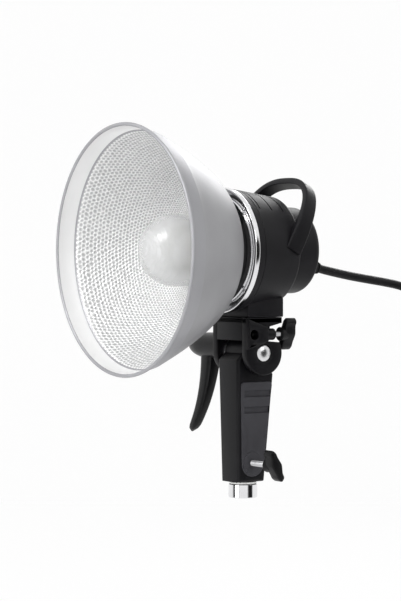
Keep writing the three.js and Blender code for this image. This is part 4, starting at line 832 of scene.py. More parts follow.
def joined(name: str, pieces: Sequence[Piece]) -> Piece:
    """Joins pieces into one object.

    Args:
        name: The name of the result.
        pieces: The objects to join, of which the first is kept.

    Returns:
        The joined object.
    """
    points: list[Vector] = []
    faces: list[list[int]] = []
    numbers: list[int] = []
    unique = list(dict.fromkeys(material for piece in pieces for material in piece.data.materials))
    for piece in pieces:
        start = len(points)
        points += [vertex.co.copy() for vertex in piece.data.vertices]
        for polygon in piece.data.polygons:
            faces.append([start + corner for corner in polygon.vertices])
            numbers.append(unique.index(piece.data.materials[polygon.material_index]))
    mesh = bpy.data.meshes.new(name)
    mesh.from_pydata([tuple(point) for point in points], [], faces)
    for material in unique:
        mesh.materials.append(material)
    mesh.polygons.foreach_set("material_index", numbers)
    whole = welded(linked(name, mesh), 0.000008)
    for piece in pieces:
        bpy.data.objects.remove(piece)
    return whole


def carved(piece: Piece, cutters: Sequence[Piece]) -> Piece:
    """Cuts closed shapes out of a piece and drops them.

    Args:
        piece: The piece to cut, which is replaced.
        cutters: The shapes to cut away.

    Returns:
        The cut piece, with its name and finishes kept.
    """
    for cutter in cutters:
        step = piece.modifiers.new("cut", "BOOLEAN")
        step.operation = "DIFFERENCE"
        step.solver = "EXACT"
        step.object = cutter
    bpy.context.view_layer.update()
    mesh = bpy.data.meshes.new_from_object(piece.evaluated_get(bpy.context.evaluated_depsgraph_get()))
    name = piece.name
    material = piece.data.materials[0]
    for old in (piece, *cutters):
        bpy.data.objects.remove(old)
    mesh.materials.clear()
    mesh.materials.append(material)
    mesh.polygons.foreach_set("material_index", [0] * len(mesh.polygons))
    whole = linked(name, mesh)
    smooth(whole, MOULDED_ANGLE)
    return whole


def brick(name: str, low: Sequence[float], high: Sequence[float], finish: Finish) -> Piece:
    """A plain box between two corners."""
    points = [Vector((x, y, z)) for z in (low[2], high[2]) for x, y in (
        (low[0], low[1]), (high[0], low[1]), (high[0], high[1]), (low[0], high[1]))]
    faces = [[0, 3, 2, 1], [4, 5, 6, 7], [0, 1, 5, 4], [1, 2, 6, 5], [2, 3, 7, 6], [3, 0, 4, 7]]
    return mesh_piece(name, points, faces, [finish])


def fit(piece: Piece, body: Body, slot: Slot, *nodes: str) -> Piece:
    """Fits a piece to its body in place of the solids that it stands for.

    Args:
        piece: The finished piece.
        body: The body that it moves with.
        slot: The record's material slot; not used.
        nodes: The solids that it replaces.

    Returns:
        The same piece.
    """
    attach(piece, body.value)
    if nodes:
        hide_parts(*nodes)
    LOG.info("%s rides on %s and stands for %s", piece.name, body.value, ", ".join(nodes) or "no solid")
    return piece


def dress(node: str, finish: Finish) -> None:
    """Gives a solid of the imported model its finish."""
    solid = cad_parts[node]
    solid.data.materials.clear()
    solid.data.materials.append(finish.material())
    smooth(solid, 30)


def round_head(turn: float, radius: float) -> Vector:
    """A place round the light's axis, by its angle from +X and its distance from the axis."""
    return HEAD_CENTRE + Vector((math.cos(turn), 0, math.sin(turn))) * radius


# Sub-assemblies


@dataclass
class ReflectorBowl:
    """The spun bowl with its rolled rim, its bayonet collar and its rivets."""

    base_place: float = 0.0471
    depth: float = 0.110
    base_radius: float = 0.060
    band_radius: float = 0.122
    band_length: float = 0.021
    rim_radius: float = 0.127
    bead: float = 0.0019
    wall: float = 0.0015
    curve_share: float = 0.62
    crowding: float = 1.7  # how much closer the curve's points stand near the base
    base_rounding: float = 0.003
    collar_radius: float = 0.050
    collar_wall: float = 0.002
    collar_back: float = 0.0303
    collar_length: float = 0.0165
    flange: float = 0.008
    flange_thickness: float = 0.0014
    lug_reach: float = 0.0032
    lug_length: float = 0.0034
    lug_half_arc: float = math.pi / 12
    lug_root: float = 0.0008
    rivet_circle: float = 0.0528
    steps: int = 144

    def curve(self, inset: float, count: int = 26) -> Outline:
        """The curved wall's profile.

        Args:
            inset: How far inside the outer face it lies.
            count: Pieces of the curve.

        Returns:
            Pairs of radius and place.
        """
        band_start = self.base_place + self.depth - self.band_length
        start = self.base_place + self.base_rounding
        points = []
        for step in range(count + 1):
            share = (step / count) ** self.crowding
            radius = self.base_radius + (self.band_radius - self.base_radius) * share**self.curve_share
            points.append((radius - inset, start + (band_start - start) * share))
        return points

    def inner_profile(self) -> Outline:
        """The dimpled inside's profile, from its front edge to its base."""
        wall = [(radius, place + self.wall * 0.4) for radius, place in self.curve(self.wall)]
        base = self.base_place + self.wall
        return [*wall[::-1], (self.base_radius - self.wall - 0.002, base + 0.0006),
                (self.base_radius - self.wall - 0.004, base), (self.collar_radius - self.collar_wall + GAP, base)]

    def build(self) -> None:
        """Makes the bowl with its band, and its dimpled lining with the grid that the dimples follow."""
        turn = basis(FORWARD)
        band_start = self.base_place + self.depth - self.band_length
        rim_place = self.base_place + self.depth - 2 * self.bead
        back = self.base_place
        wall = self.curve(0)[1:]
        outside = [
            (self.collar_radius - self.collar_wall + GAP, back),
            *rounded((self.base_radius - 0.0008, back), (self.collar_radius, back), wall[0], 0.003, 5)[:-1],
            *wall,
            (self.band_radius + 0.0007, band_start + 0.0012),
            (self.rim_radius - 0.0006, rim_place),
            *arc((self.rim_radius, self.base_place + self.depth - self.bead), self.bead, -QUARTER_TURN, math.pi, 9),
        ]
        band = [
            (self.rim_radius - self.bead - 0.0002, rim_place),
            (self.band_radius - 0.0001, band_start + 0.0022),
            (self.band_radius - 0.0009, band_start + 0.0009),
        ]
        profile = [*outside, *band, *self.inner_profile()]
        count = self.steps
        reach = [0.0]
        for (first, low), (second, high) in zip(profile, profile[1:]):
            mean = max((first + second) / 2, 0.001)
            reach.append(reach[-1] + math.hypot(second - first, high - low) / mean / FULL_TURN)
        points = [HEAD_CENTRE + turn @ Vector((x, y, place))
                  for radius, place in profile for x, y in circle((0, 0), radius, count)]
        faces: list[list[int]] = []
        numbers: list[int] = []
        grid: Outline = []
        # The profile's ring at which each material starts: cone, rolled rim, band, its inner edge, lining.
        lining = len(outside) + len(band)
        starts = ((lining, 2), (lining - 2, 3), (len(outside) - 1, 1), (len(outside) - 12, 3), (0, 0))
        for ring in range(len(profile)):
            after = (ring + 1) % len(profile)
            number = next(material for start, material in starts if ring >= start) if after else 0
            numbers += [number] * count
            faces += band_faces(ring, after, count)
            high = reach[after] if after else reach[ring]
            for step in range(count):
                grid += rectangle((step / count, reach[ring]), ((step + 1) / count, high))
        finishes = [PALETTE.spun, PALETTE.band, PALETTE.dimpled, PALETTE.rim]
        piece = mesh_piece("spun_bowl", points, faces, finishes, 40)
        piece.data.polygons.foreach_set("material_index", numbers)
        layer = piece.data.uv_layers.new(name="grid")
        for corner, place in zip(layer.data, grid):
            corner.uv = place
        fit(outward(piece), Body.REFLECTOR, Slot.ALUMINIUM, "reflector_bowl")

    def build_collar(self) -> None:
        """Makes the bayonet collar with its flange and its three lugs."""
        inner = self.collar_radius - self.collar_wall
        front = self.collar_back + self.collar_length
        flange_back = front - self.flange_thickness
        outer, reach = self.collar_radius, self.collar_radius + self.flange
        profile = softened([
            (inner, self.collar_back), (outer, self.collar_back), (outer, flange_back), (reach, flange_back),
            (reach, front), (inner, front),
        ], 0.0004)
        ring = lathe("collar", profile, HEAD_CENTRE, FORWARD, PALETTE.enamel, 96, closed=True)
        ring.data.materials.append(PALETTE.band.material())
        for face in ring.data.polygons:
            from_axis = face.center - HEAD_CENTRE
            face.material_index = int(math.hypot(from_axis.x, from_axis.z) < inner + GAP)
        pieces = [ring]
        for lug in range(3):
            middle = QUARTER_TURN + lug * FULL_TURN / 3
            start, end = middle - self.lug_half_arc, middle + self.lug_half_arc
            outline = arc((0, 0), self.collar_radius + self.lug_reach, start, end, 10)
            outline += arc((0, 0), inner + self.lug_root, end, start, 10)
            low, high = self.collar_back, self.collar_back + self.lug_length
            plate = outlined(f"lug_{lug}", [outline], low, high, 0.0004, Plane.FRONT, PALETTE.steel)
            plate.data.transform(Matrix.Translation(HEAD_CENTRE))
            pieces.append(plate)
        fit(joined("bayonet_collar", pieces), Body.REFLECTOR, Slot.ENAMEL, "reflector_collar")

    def build_rivets(self) -> None:
        """Makes the three domed rivets that hold the collar to the bowl."""
        for rivet in range(3):
            centre = round_head(-math.pi / 3 + rivet * FULL_TURN / 3, self.rivet_circle)
            back = self.collar_back + self.collar_length - self.flange_thickness - GAP
            front = self.base_place + self.wall + GAP
            profile = [
                (0, back - 0.001), (0.0016, back - 0.0008), (0.0024, back), (0.0017, back), (0.0017, front),
                (0.0024, front), (0.0019, front + 0.0007), (0.001, front + 0.00095), (0, front + 0.001),
            ]
            piece = lathe(f"domed_rivet_{rivet + 1}", profile, centre, FORWARD, PALETTE.chrome, 20)
            fit(piece, Body.REFLECTOR, Slot.STEEL, f"reflector_rivet_{rivet + 1}")


@dataclass
class FrontMount:
    """The rings on the front of the body that the reflector locks into."""

    back: float = 0.0303
    trim_radius: float = 0.0656
    trim_width: float = 0.0034
    trim_depth: float = 0.006
    face_thickness: float = 0.0032
    bayonet_radius: float = 0.056
    bayonet_wall: float = 0.002
    bayonet_depth: float = 0.012
    bayonet_back: float = 0.0243
    lip_radius: float = 0.0507
    lip_thickness: float = 0.0024
    notch_radius: float = 0.0536
    notch_half_arc: float = math.pi / 11
    screw_radius: float = 0.0019
    screw_height: float = 0.0013

    def build(self) -> None:
        """Makes the trim ring, the face ring, the bayonet ring and the screws."""
        inner = self.trim_radius - self.trim_width
        front = self.back + self.trim_depth
        trim = softened(rectangle((inner, self.back), (self.trim_radius, front)), 0.0012, 5)
        fit(lathe("chrome_trim_ring", trim, HEAD_CENTRE, FORWARD, PALETTE.chrome, 128, closed=True),
            Body.HEAD, Slot.CHROME, "mount_trim_ring")
        low, high = self.bayonet_radius + GAP, inner - GAP
        top = self.back + self.face_thickness
        middle, chamfer, groove = (low + high) / 2, 0.0003, top - 0.0004
        face = [
            (low, self.back), (high, self.back), (high, top - chamfer), (high - chamfer, top),
            (middle + 0.0022, top), (middle + 0.0020, groove), (middle - 0.0020, groove), (middle - 0.0022, top),
            (low + chamfer, top), (low, top - chamfer),
        ]
        fit(lathe("chrome_face_ring", face, HEAD_CENTRE, FORWARD, PALETTE.chrome, 128, closed=True),
            Body.HEAD, Slot.CHROME, "mount_face")
        fit(self.bayonet(), Body.HEAD, Slot.CHROME, "bayonet_ring")
        for screw in range(4):
            centre = round_head(math.pi / 4 + screw * QUARTER_TURN, (inner + self.bayonet_radius) / 2)
            piece = socket_screw(f"face_screw_{screw + 1}", centre + FORWARD * (top + GAP), FORWARD,
                                 self.screw_radius, self.screw_height)
            fit(piece, Body.HEAD, Slot.STEEL, f"mount_screw_{screw + 1}")

    def bayonet(self) -> Piece:
        """The chromed ring whose lip holds the reflector's lugs, with three ways in."""
        front = self.bayonet_back + self.bayonet_depth
        inner = self.bayonet_radius - self.bayonet_wall
        lip_back = front - self.lip_thickness
        section = [
            (inner, self.bayonet_back), (self.bayonet_radius, self.bayonet_back), (self.bayonet_radius, front),
            (self.lip_radius, front), (self.lip_radius, lip_back), (inner, lip_back),
        ]

        def ripple(around: float, number: int) -> float:
            """Opens the lip where a lug passes."""
            if number not in (3, 4):
                return 1.0
            nearest = min(abs((around - entry + math.pi) % FULL_TURN - math.pi) for entry in self.entries())
            return self.notch_radius / self.lip_radius if nearest < self.notch_half_arc else 1.0

        return lathe("chrome_bayonet_ring", section, HEAD_CENTRE, FORWARD, PALETTE.chrome, 144, closed=True,
                     ripple=ripple)

    def entries(self) -> list[float]:
        """The angles of the three ways in, as the lathe counts them about the light's axis."""
        turn = basis(FORWARD).inverted()
        angles = []
        for entry in range(3):
            around = QUARTER_TURN - 2 * math.pi / 9 + entry * FULL_TURN / 3
            local = turn @ Vector((math.cos(around), 0, math.sin(around)))
            angles.append(math.atan2(local.y, local.x) % FULL_TURN)
        return angles


def socket_screw(name: str, seat: Vector, axis: Vector, radius: float, height: float) -> Piece:
    """Makes a screw head with a six-sided recess.

    Args:
        name: The piece's name.
        seat: The centre of the head's underside.
        axis: The way that the head faces.
        radius: The head's radius.
        height: Its height.

    Returns:
        The new object.
    """
    recess = radius * 0.5

    def six_sided(around: float, number: int) -> float:
        """Draws the recess's rings as a hexagon."""
        if number < 4:
            return 1.0
        return math.cos(math.pi / 6) / math.cos((around % (math.pi / 3)) - math.pi / 6)

    profile = [
        (radius * 0.2, 0), (radius, 0), (radius, height * 0.7), (radius * 0.8, height), (recess, height),
        (recess, height * 0.4), (recess * 0.1, height * 0.3),
    ]
    return lathe(name, profile, seat, axis, PALETTE.chrome, 24, ripple=six_sided)


@dataclass
class LampSet:
    """The glass dome and the lamps under it, on their ceramic base."""

    base_front: float = 0.0323
    plug_front: float = 0.0423
    dome_radius: float = 0.037
    dome_length: float = 0.097
    dome_wall: float = 0.0016
    tube_radius: float = 0.0036
    loop_radius: float = 0.021
    loop_rise: float = 0.042
    leg_spread: float = 0.009
    loop_opening: float = 0.62
    bulb_radius: float = 0.008
    bulb_length: float = 0.012
    holder_length: float = 0.009

    def build(self) -> None:
        """Makes the dome, the ring-shaped flash tube and the modelling lamp, and dresses their base."""
        back = self.base_front + GAP
        centre = back + self.dome_length - self.dome_radius
        inner = self.dome_radius - self.dome_wall
        profile = [
            *arc((0, centre), inner, QUARTER_TURN, 0, 16), (inner, back + 0.0006), (inner + 0.0004, back),
            (self.dome_radius - 0.0004, back), (self.dome_radius, back + 0.0006),
            *arc((0, centre), self.dome_radius, 0, QUARTER_TURN, 16),
        ]
        cover = lathe("glass_cover", profile, HEAD_CENTRE, FORWARD, PALETTE.glass, 64)
        fit(cover, Body.HEAD, Slot.GLASS, "glass_dome")
        fit(self.flash_tube(), Body.HEAD, Slot.GLASS, "flash_tube")
        self.modelling_lamp()
        for node in ("lamp_base", "modelling_lamp_holder"):
            dress(node, PALETTE.ceramic)

    def flash_tube(self) -> Piece:
        """The round flash tube on its two legs."""
        base = self.plug_front + GAP
        bend = base + self.tube_radius * 3
        start = -QUARTER_TURN - self.loop_opening
        left, right = ([(side * self.leg_spread, place, -self.loop_radius) for place in (-base, -bend)]
                       for side in (-1, 1))
        loop = [(x, -base - self.loop_rise, z)
                for x, z in arc((0, 0), self.loop_radius, start, start - FULL_TURN + 2 * self.loop_opening, 24)]
        fine = catmull_rom([Vector(point) + HEAD_CENTRE for point in (*left, *loop, *right[::-1])], 3)
        return swept("ring_flash_tube", fine, self.tube_radius, PALETTE.quartz, 16)

    def modelling_lamp(self) -> None:
        """The small halogen lamp at the middle, in its holder."""
        base = self.plug_front + 2 * GAP + self.holder_length
        round_end = arc((0, base + self.bulb_length), self.bulb_radius, 0, QUARTER_TURN, 8)
        profile = [(0, base), (0.0064, base), (0.0078, base + 0.0012), (self.bulb_radius, base + 0.003), *round_end]
        fit(lathe("halogen_lamp", profile, HEAD_CENTRE, FORWARD, PALETTE.quartz, 32), Body.HEAD, Slot.GLASS,
            "modelling_lamp")


@dataclass
class HeadBody:
    """The black casing with its rear cap, carrying handle, foot and what is inside."""

    front: float = 0.030
    rear: float = -0.029
    front_radius: float = 0.065
    rear_radius: float = 0.0565
    wall: float = 0.0026
    rear_opening: float = 0.040
    rounding: float = 0.004
    vent_width: float = 0.0016
    vent_depth: float = 0.0024
    vent_half_arc: float = 0.82
    vents: tuple[float, ...] = (-0.0153, 0.0011, 0.0175)
    groove: float = 0.0215
    cap_ring: Spot = (0.0255, 0.0273)
    cap_rounding: float = 0.0075
    cap_inner_slope: float = 0.006
    cap_screw: Spot = (0.0028, 0.0014)
    cap_radius: float = 0.0457
    cap_rear: float = -0.0633
    cap_front: float = -0.0293
    cap_screw_circle: float = 0.033
    cap_screw_sunk: float = 0.0013
    foot: tuple[Spot, Spot] = ((-0.0151, 0.1895), (0.0302, 0.2095))
    foot_half_width: float = 0.0305
    handle_half_span: float = 0.0605
    handle_rise: float = 0.073
    handle_base: Spot = (-0.022, 0.010)
    handle_lean: float = 0.5
    handle_thickness: float = 0.007
    handle_base_width: float = 0.019
    handle_top_width: float = 0.014
    handle_squareness: float = 0.74
    handle_rounding: Spot = (0.0016, 0.0009)
    handle_end_turn: float = 0.03

    def radius_at(self, place: float) -> float:
        """The casing's outer radius at a place along the light's axis."""
        share = (place - self.rear) / (self.front - self.rear)
        return self.rear_radius + (self.front_radius - self.rear_radius) * share

    def build_casing(self) -> None:
        """Makes the casing, with vents pressed in over its top and a ring groove near its front."""
        profile: Outline = [(self.rear_opening, self.rear)]
        corner = self.radius_at(self.rear)
        profile += rounded((corner, self.rear), (self.rear_opening, self.rear),
                           (self.radius_at(0), 0), self.rounding, 6)
        deep: list[int] = []
        for middle in self.vents:
            for offset, sunk in ((-1, False), (-0.9, True), (0.9, True), (1, False)):
                place = middle + offset * self.vent_width / 2
                if sunk:
                    deep.append(len(profile))
                profile.append((self.radius_at(place), place))
        for offset, dip in ((0, 0), (0.0004, 0.0005), (0.0012, 0.0005), (0.0016, 0)):
            place = self.groove + offset
            profile.append((self.radius_at(place) - dip, place))
        profile += [(self.front_radius - 0.0002, self.front - 0.0005), (self.front_radius - 0.0007, self.front),
                    (self.front_radius - self.wall, self.front), (corner - self.wall, self.rear + self.wall),
                    (self.rear_opening, self.rear + self.wall)]

        def vent(around: float, number: int) -> float:
            """Sinks the vents' rings over the top of the casing."""
            local = basis(FORWARD) @ Vector((math.cos(around), math.sin(around), 0))
            aside = abs(math.atan2(local.x, local.z))
            if number not in deep or aside > self.vent_half_arc:
                return 1.0
            return 1 - self.vent_depth / profile[number][0]

        fit(lathe("head_casing", profile, HEAD_CENTRE, FORWARD, PALETTE.shell, 144, closed=True, ripple=vent),
            Body.HEAD, Slot.PLASTIC, "body_shell")

    def build_cap(self) -> None:
        """Makes the rear cap with a rounded edge and a shallow ring on its face."""
        radius, rear, slope = self.cap_radius, self.cap_rear, self.cap_inner_slope
        ring_low, ring_high = self.cap_ring
        edge = rounded((radius, rear), (0, rear), (radius, 0), self.cap_rounding, 8)
        profile = [
            (0, rear), (ring_low, rear), (ring_low + 0.0003, rear + 0.0005), (ring_high - 0.0003, rear + 0.0005),
            (ring_high, rear), *edge, (radius, self.cap_front), (radius - self.wall, self.cap_front),
            (radius - self.wall, rear + slope), (radius - slope, rear + self.wall), (0, rear + self.wall),
        ]
        cover = lathe("rear_cover", profile, HEAD_CENTRE, FORWARD, PALETTE.shell, 96)
        fit(cover, Body.HEAD, Slot.PLASTIC, "rear_cap")
        for screw in range(4):
            centre = round_head(math.pi / 4 + screw * QUARTER_TURN, self.cap_screw_circle)
            seat = centre + FORWARD * (self.cap_rear + self.cap_screw_sunk)
            piece = socket_screw(f"cover_screw_{screw + 1}", seat, -FORWARD, *self.cap_screw)
            fit(piece, Body.HEAD, Slot.STEEL, f"rear_cap_screw_{screw + 1}")

    def build_handle(self) -> None:
        """Makes the carrying handle, a strap that arches over the casing and leans to the rear."""
        half = self.handle_thickness / 2
        rings = []
        steps = 60
        base_place, base_up = self.handle_base
        for step in range(steps + 1):
            around = math.pi * ((1 + 2 * self.handle_end_turn) * step / steps - self.handle_end_turn)
            lift = min(1.0, max(0.0, math.sin(around)))
            width = self.handle_top_width + (self.handle_base_width - self.handle_top_width) * (1 - lift) ** 2
            span, height, square = self.handle_half_span - half, self.handle_rise - half, self.handle_squareness
            side = span * signed_power(math.cos(around), square)
            rise = height * signed_power(math.sin(around), square)
            out = Vector((height * signed_power(math.cos(around), 2 - square),
                          span * signed_power(math.sin(around), 2 - square))).normalized()
            ring = []
            for along, thick in section_points(width / 2, half, *self.handle_rounding):
                up = rise + out.y * thick
                ring.append(HEAD_CENTRE + Vector((
                    side + out.x * thick,
                    -base_place + up * math.sin(self.handle_lean) - along * math.cos(self.handle_lean),
                    base_up + up * math.cos(self.handle_lean) + along * math.sin(self.handle_lean),
                )))
            rings.append(ring)
        piece = rings_piece("carrying_handle", rings, PALETTE.shell, 38)
        fit(piece, Body.HEAD, Slot.PLASTIC, "carry_handle")

    def build_foot(self) -> None:
        """Makes the foot that the yoke is bolted to."""
        outline = softened(rectangle(*self.foot), 0.0012, 2)
        half = self.foot_half_width
        piece = outlined("casing_foot", [outline], -half, half, 0.0009, Plane.SIDE, PALETTE.shell)
        fit(piece, Body.HEAD, Slot.PLASTIC, "mount_foot")

    def build(self) -> None:
        """Makes the casing's pieces and dresses the solids inside."""
        self.build_casing()
        self.build_cap()
        self.build_handle()
        self.build_foot()
        for node, finish in (("front_bulkhead", PALETTE.steel), ("trigger_transformer", PALETTE.winding),
                             ("terminal_block", PALETTE.nylon), ("release_slider", PALETTE.knob)):
            dress(node, finish)


def signed_power(value: float, power: float) -> float:
    """A power of a number's size, with the number's sign."""
    return math.copysign(abs(value) ** power, value)


def section_points(half_width: float, half_height: float, round_width: float,
                   round_height: float) -> Outline:
    """The points of a bar's section with rounded corners.

    Args:
        half_width: Half its width.
        half_height: Half its height.
        round_width: How far along its width each corner's rounding reaches.
        round_height: How far along its height each corner's rounding reaches.

    Returns:
        The points, in order round the section.
    """
    points = []
    for number, (sign_w, sign_h) in enumerate(((1, 1), (-1, 1), (-1, -1), (1, -1))):
        for step in range(4):
            turn = QUARTER_TURN * (number + step / 3)
            points.append((sign_w * (half_width - round_width) + round_width * math.cos(turn),
                           sign_h * (half_height - round_height) + round_height * math.sin(turn)))
    return points


def catmull_rom(points: Sequence[Vector], pieces: int) -> list[Vector]:
    """Points of a smooth curve through points.

    Args:
        points: The points that the curve passes.
        pieces: Pieces between each two of them.

    Returns:
        The curve's points.
    """
    fine = []
    last = len(points) - 1
    for number in range(last):
        before = points[max(number - 1, 0)]
        start, end = points[number], points[number + 1]
        after = points[min(number + 2, last)]
        for piece in range(pieces):
            t = piece / pieces
            fine.append(0.5 * (2 * start + (end - before) * t + (2 * before - 5 * start + 4 * end - after) * t**2
                               + (3 * start - before - 3 * end + after) * t**3))
    fine.append(points[last].copy())
    return fine


@dataclass
class WingScrew:
    """A wing knob moulded round the end of a threaded stud."""

    back: Vector
    axis: Vector
    turn: float
    stud_length: float
    span: float = 0.036
    thickness: float = 0.0084
    waist: float = 0.005
    depth: float = 0.013
    hub_radius: float = 0.0074
    hub_length: float = 0.008
    stud_radius: float = 0.0030
    stud_end: float = 0.0040
    thread_root: float = 0.00262
    thread_pitch: float = 0.001

    def knob(self, name: str) -> Piece:
        """The knob, with two leaning wings and a round hub.

        Args:
            name: The piece's name.

        Returns:
            The new object.
        """
        half, tip, lean = self.span / 2, self.thickness / 2, self.thickness / 3
        wing = [(half - tip, lean - tip), (half, lean), (half - tip, lean + tip),
                (half / 2, lean / 2 + self.waist * 0.8), (0, self.waist * 1.3),
                (-half / 2, -lean / 2 + self.waist * 0.8)]
        outline = softened([*wing, *((-x, -y) for x, y in wing)], 0.0021, 3)
        wings = outlined(name + "_wings", [outline], self.hub_length / 2, self.hub_length / 2 + self.depth, 0.0014,
                         Plane.SIDE, PALETTE.knob, 3)
        profile = [(0.0031, 0.0), (self.hub_radius - 0.0006, 0.0), (self.hub_radius, 0.0006),
                   (self.hub_radius * 0.85, self.hub_length), (0, self.hub_length)]
        hub = lathe(name + "_hub", profile, ORIGIN, X_AXIS, PALETTE.knob, 40)
        piece = joined(name, [wings, hub])
        spin = Matrix.Rotation(self.turn, 4, "X")
        aim = X_AXIS.rotation_difference(self.axis).to_matrix().to_4x4()
        piece.data.transform(Matrix.Translation(self.back) @ aim @ spin)
        return piece

    def stud(self, name: str) -> Piece:
        """The threaded stud, which ends inside the hub.

        Args:
            name: The piece's name.

        Returns:
            The new object.
        """
        profile: Outline = [(0, -self.stud_length), (0.0024, -self.stud_length)]
        place = -self.stud_length + 0.0006
        while place < self.stud_end - 0.0002:
            profile += [(self.stud_radius, place), (self.thread_root, place + self.thread_pitch / 2)]
            place += self.thread_pitch
        profile += [(self.stud_radius, self.stud_end), (0, self.stud_end)]
        return lathe(name, profile, self.back, self.axis, PALETTE.steel, 24, angle=60)


@dataclass
class Yoke:
    """The forked bracket under the head, with its bolt, discs and accessory clamp."""

    half_width: float = 0.0305
    cheek: float = 0.0082
    radius: float = 0.023
    foot_rise: float = 0.0372
    web: float = 0.006
    clamp_rise: float = 0.0196
    boss_height: float = 0.004
    hole_forward: float = 0.0149
    hole_radius: float = 0.0052
    neck_half: float = 0.007
    neck_end: float = 0.013
    neck_bore: float = 0.0034
    boss_rear: float = 0.0035
    arc_end: float = 0.5
    crown_bottom: float = 0.0134
    crown_recess: float = 0.018
    disc: tuple[Spot, Spot] = ((0.0053, 0.0183), (0.016, 0.0220))
    bolt_head: float = 0.0092
    bolt_sunk: float = 0.003
    bolt_edge: float = 0.0009
    bolt_dome: float = 0.0036
    bolt_shank: float = 0.005
    bolt_past: float = 0.0223

    def cheek_outline(self) -> Outline:
        """A cheek's outline as seen from the side, from the tilt centre."""
        r, top = self.radius, self.foot_rise
        foot = arc((0, 0), r, math.pi, FULL_TURN + self.arc_end, 30)
        rear = self.boss_rear
        return [(-r, top), (-r, 0.001), *foot, (rear, self.clamp_rise - self.neck_half),
                (rear, self.clamp_rise + self.neck_half), (r, top - self.web), (r, top)]

    def placed(self, outline: Profile) -> Outline:
        """An outline moved from the tilt centre to its place."""
        return [(along + TILT_CENTRE.y, up + TILT_CENTRE.z) for along, up in outline]

    def build_frame(self) -> None:
        """Makes the cheeks, the web that joins them, and the boss with its hole and neck."""
        inner = self.half_width - self.cheek
        outline = self.placed(self.cheek_outline())
        hole_centre = (TILT_CENTRE.y - self.hole_forward, TILT_CENTRE.z + self.clamp_rise)
        hole = circle(hole_centre, self.hole_radius)
        recess = circle((TILT_CENTRE.y, TILT_CENTRE.z), self.bolt_head + GAP)
        half, boss_face, overlap = self.half_width, self.half_width + self.boss_height, 0.0002
        reach, rise = self.radius, self.foot_rise
        web = softened(rectangle((-reach, rise - self.web), (reach, rise)), 0.0008, 2)
        plates = [outlined(name, outlines, low, high, bevel, Plane.SIDE, PALETTE.grip)
                  for name, outlines, low, high, bevel in (
                      ("near_cheek", [outline, hole, recess], inner, half, 0.0011),
                      ("far_cheek", [outline, hole], -half, -inner, 0.0011),
                      ("web", [self.placed(web)], -half, half, 0.0009),
                      ("crown", [self.crown_outline(), hole], -inner - overlap, inner + overlap, 0.0002),
                      ("boss", [softened(self.boss_outline(), 0.0012, 3), hole], inner, boss_face, 0.0013),
                  )]
        screw_side = (inner + boss_face) / 2
        neck_radius = (boss_face - inner) / 2
        neck_seat = TILT_CENTRE + Vector((screw_side, 0, self.clamp_rise))
        chamfer = 0.0008
        neck = lathe("neck", [(self.neck_bore, 0.001), (neck_radius, 0.001), (neck_radius, self.neck_end - chamfer),
                              (neck_radius - chamfer, self.neck_end), (self.neck_bore, self.neck_end)],
                     neck_seat, -FORWARD, PALETTE.grip, 40)
        fit(joined("yoke_bracket", [*plates, neck]), Body.HEAD, Slot.PLASTIC, "yoke_frame")

    def crown_outline(self) -> Outline:
        """The outline of the solid block between the cheeks, hollowed for the grip's tongue."""
        start = math.pi - math.asin(self.crown_bottom / self.crown_recess)
        hollow = arc((0, 0), self.crown_recess, start, QUARTER_TURN, 12)
        return self.placed([
            (-self.radius, self.crown_bottom), *hollow, (self.neck_end, self.crown_recess),
            (self.neck_end, self.foot_rise - 0.001), (-self.radius, self.foot_rise - 0.001),
        ])

    def boss_outline(self) -> Outline:
        """The accessory boss's outline as seen from the side."""
        rear = self.boss_rear
        return self.placed([
            (-self.radius, self.clamp_rise - 3 * self.hole_radius), (rear, self.clamp_rise - self.neck_half),
            (rear, self.clamp_rise + self.neck_half), (-self.radius, self.foot_rise - 0.0009),
        ])

    def build(self) -> None:
        """Makes the bracket, its bolt, its friction discs and its wing screw."""
        self.build_frame()
        seat = self.half_width - self.bolt_sunk + GAP
        dome = arc((0, seat + self.bolt_edge), self.bolt_head, 0, QUARTER_TURN, 8, self.bolt_dome)
        end = -self.half_width - self.bolt_past
        bolt = lathe("domed_tilt_bolt",
                     [(0, end), (self.bolt_shank, end), (self.bolt_shank, seat), (self.bolt_head, seat), *dome],
                     TILT_CENTRE, X_AXIS, PALETTE.bolt, 48)
        fit(bolt, Body.HEAD, Slot.CHROME, "tilt_bolt")
        for side, name in ((1, "right"), (-1, "left")):
            profile = softened(rectangle(*self.disc), 0.0004)
            disc = lathe(f"friction_washer_{name}", profile, TILT_CENTRE, X_AXIS * side, PALETTE.steel, 48,
                         closed=True)
            fit(disc, Body.HEAD, Slot.STEEL, f"friction_disc_{name}")
        for number in (1, 2):
            dress(f"yoke_bolt_{number}", PALETTE.steel)
        screw = WingScrew(Vector((0.0284, 0.0264, 0.1716)), -FORWARD, turn=1.7, stud_length=0.0291)
        fit(screw.knob("accessory_wing_knob"), Body.SHAFT_KNOB, Slot.PLASTIC, "shaft_clamp_knob")
        fit(screw.stud("accessory_wing_stud"), Body.SHAFT_SCREW, Slot.STEEL, "shaft_clamp_stud")


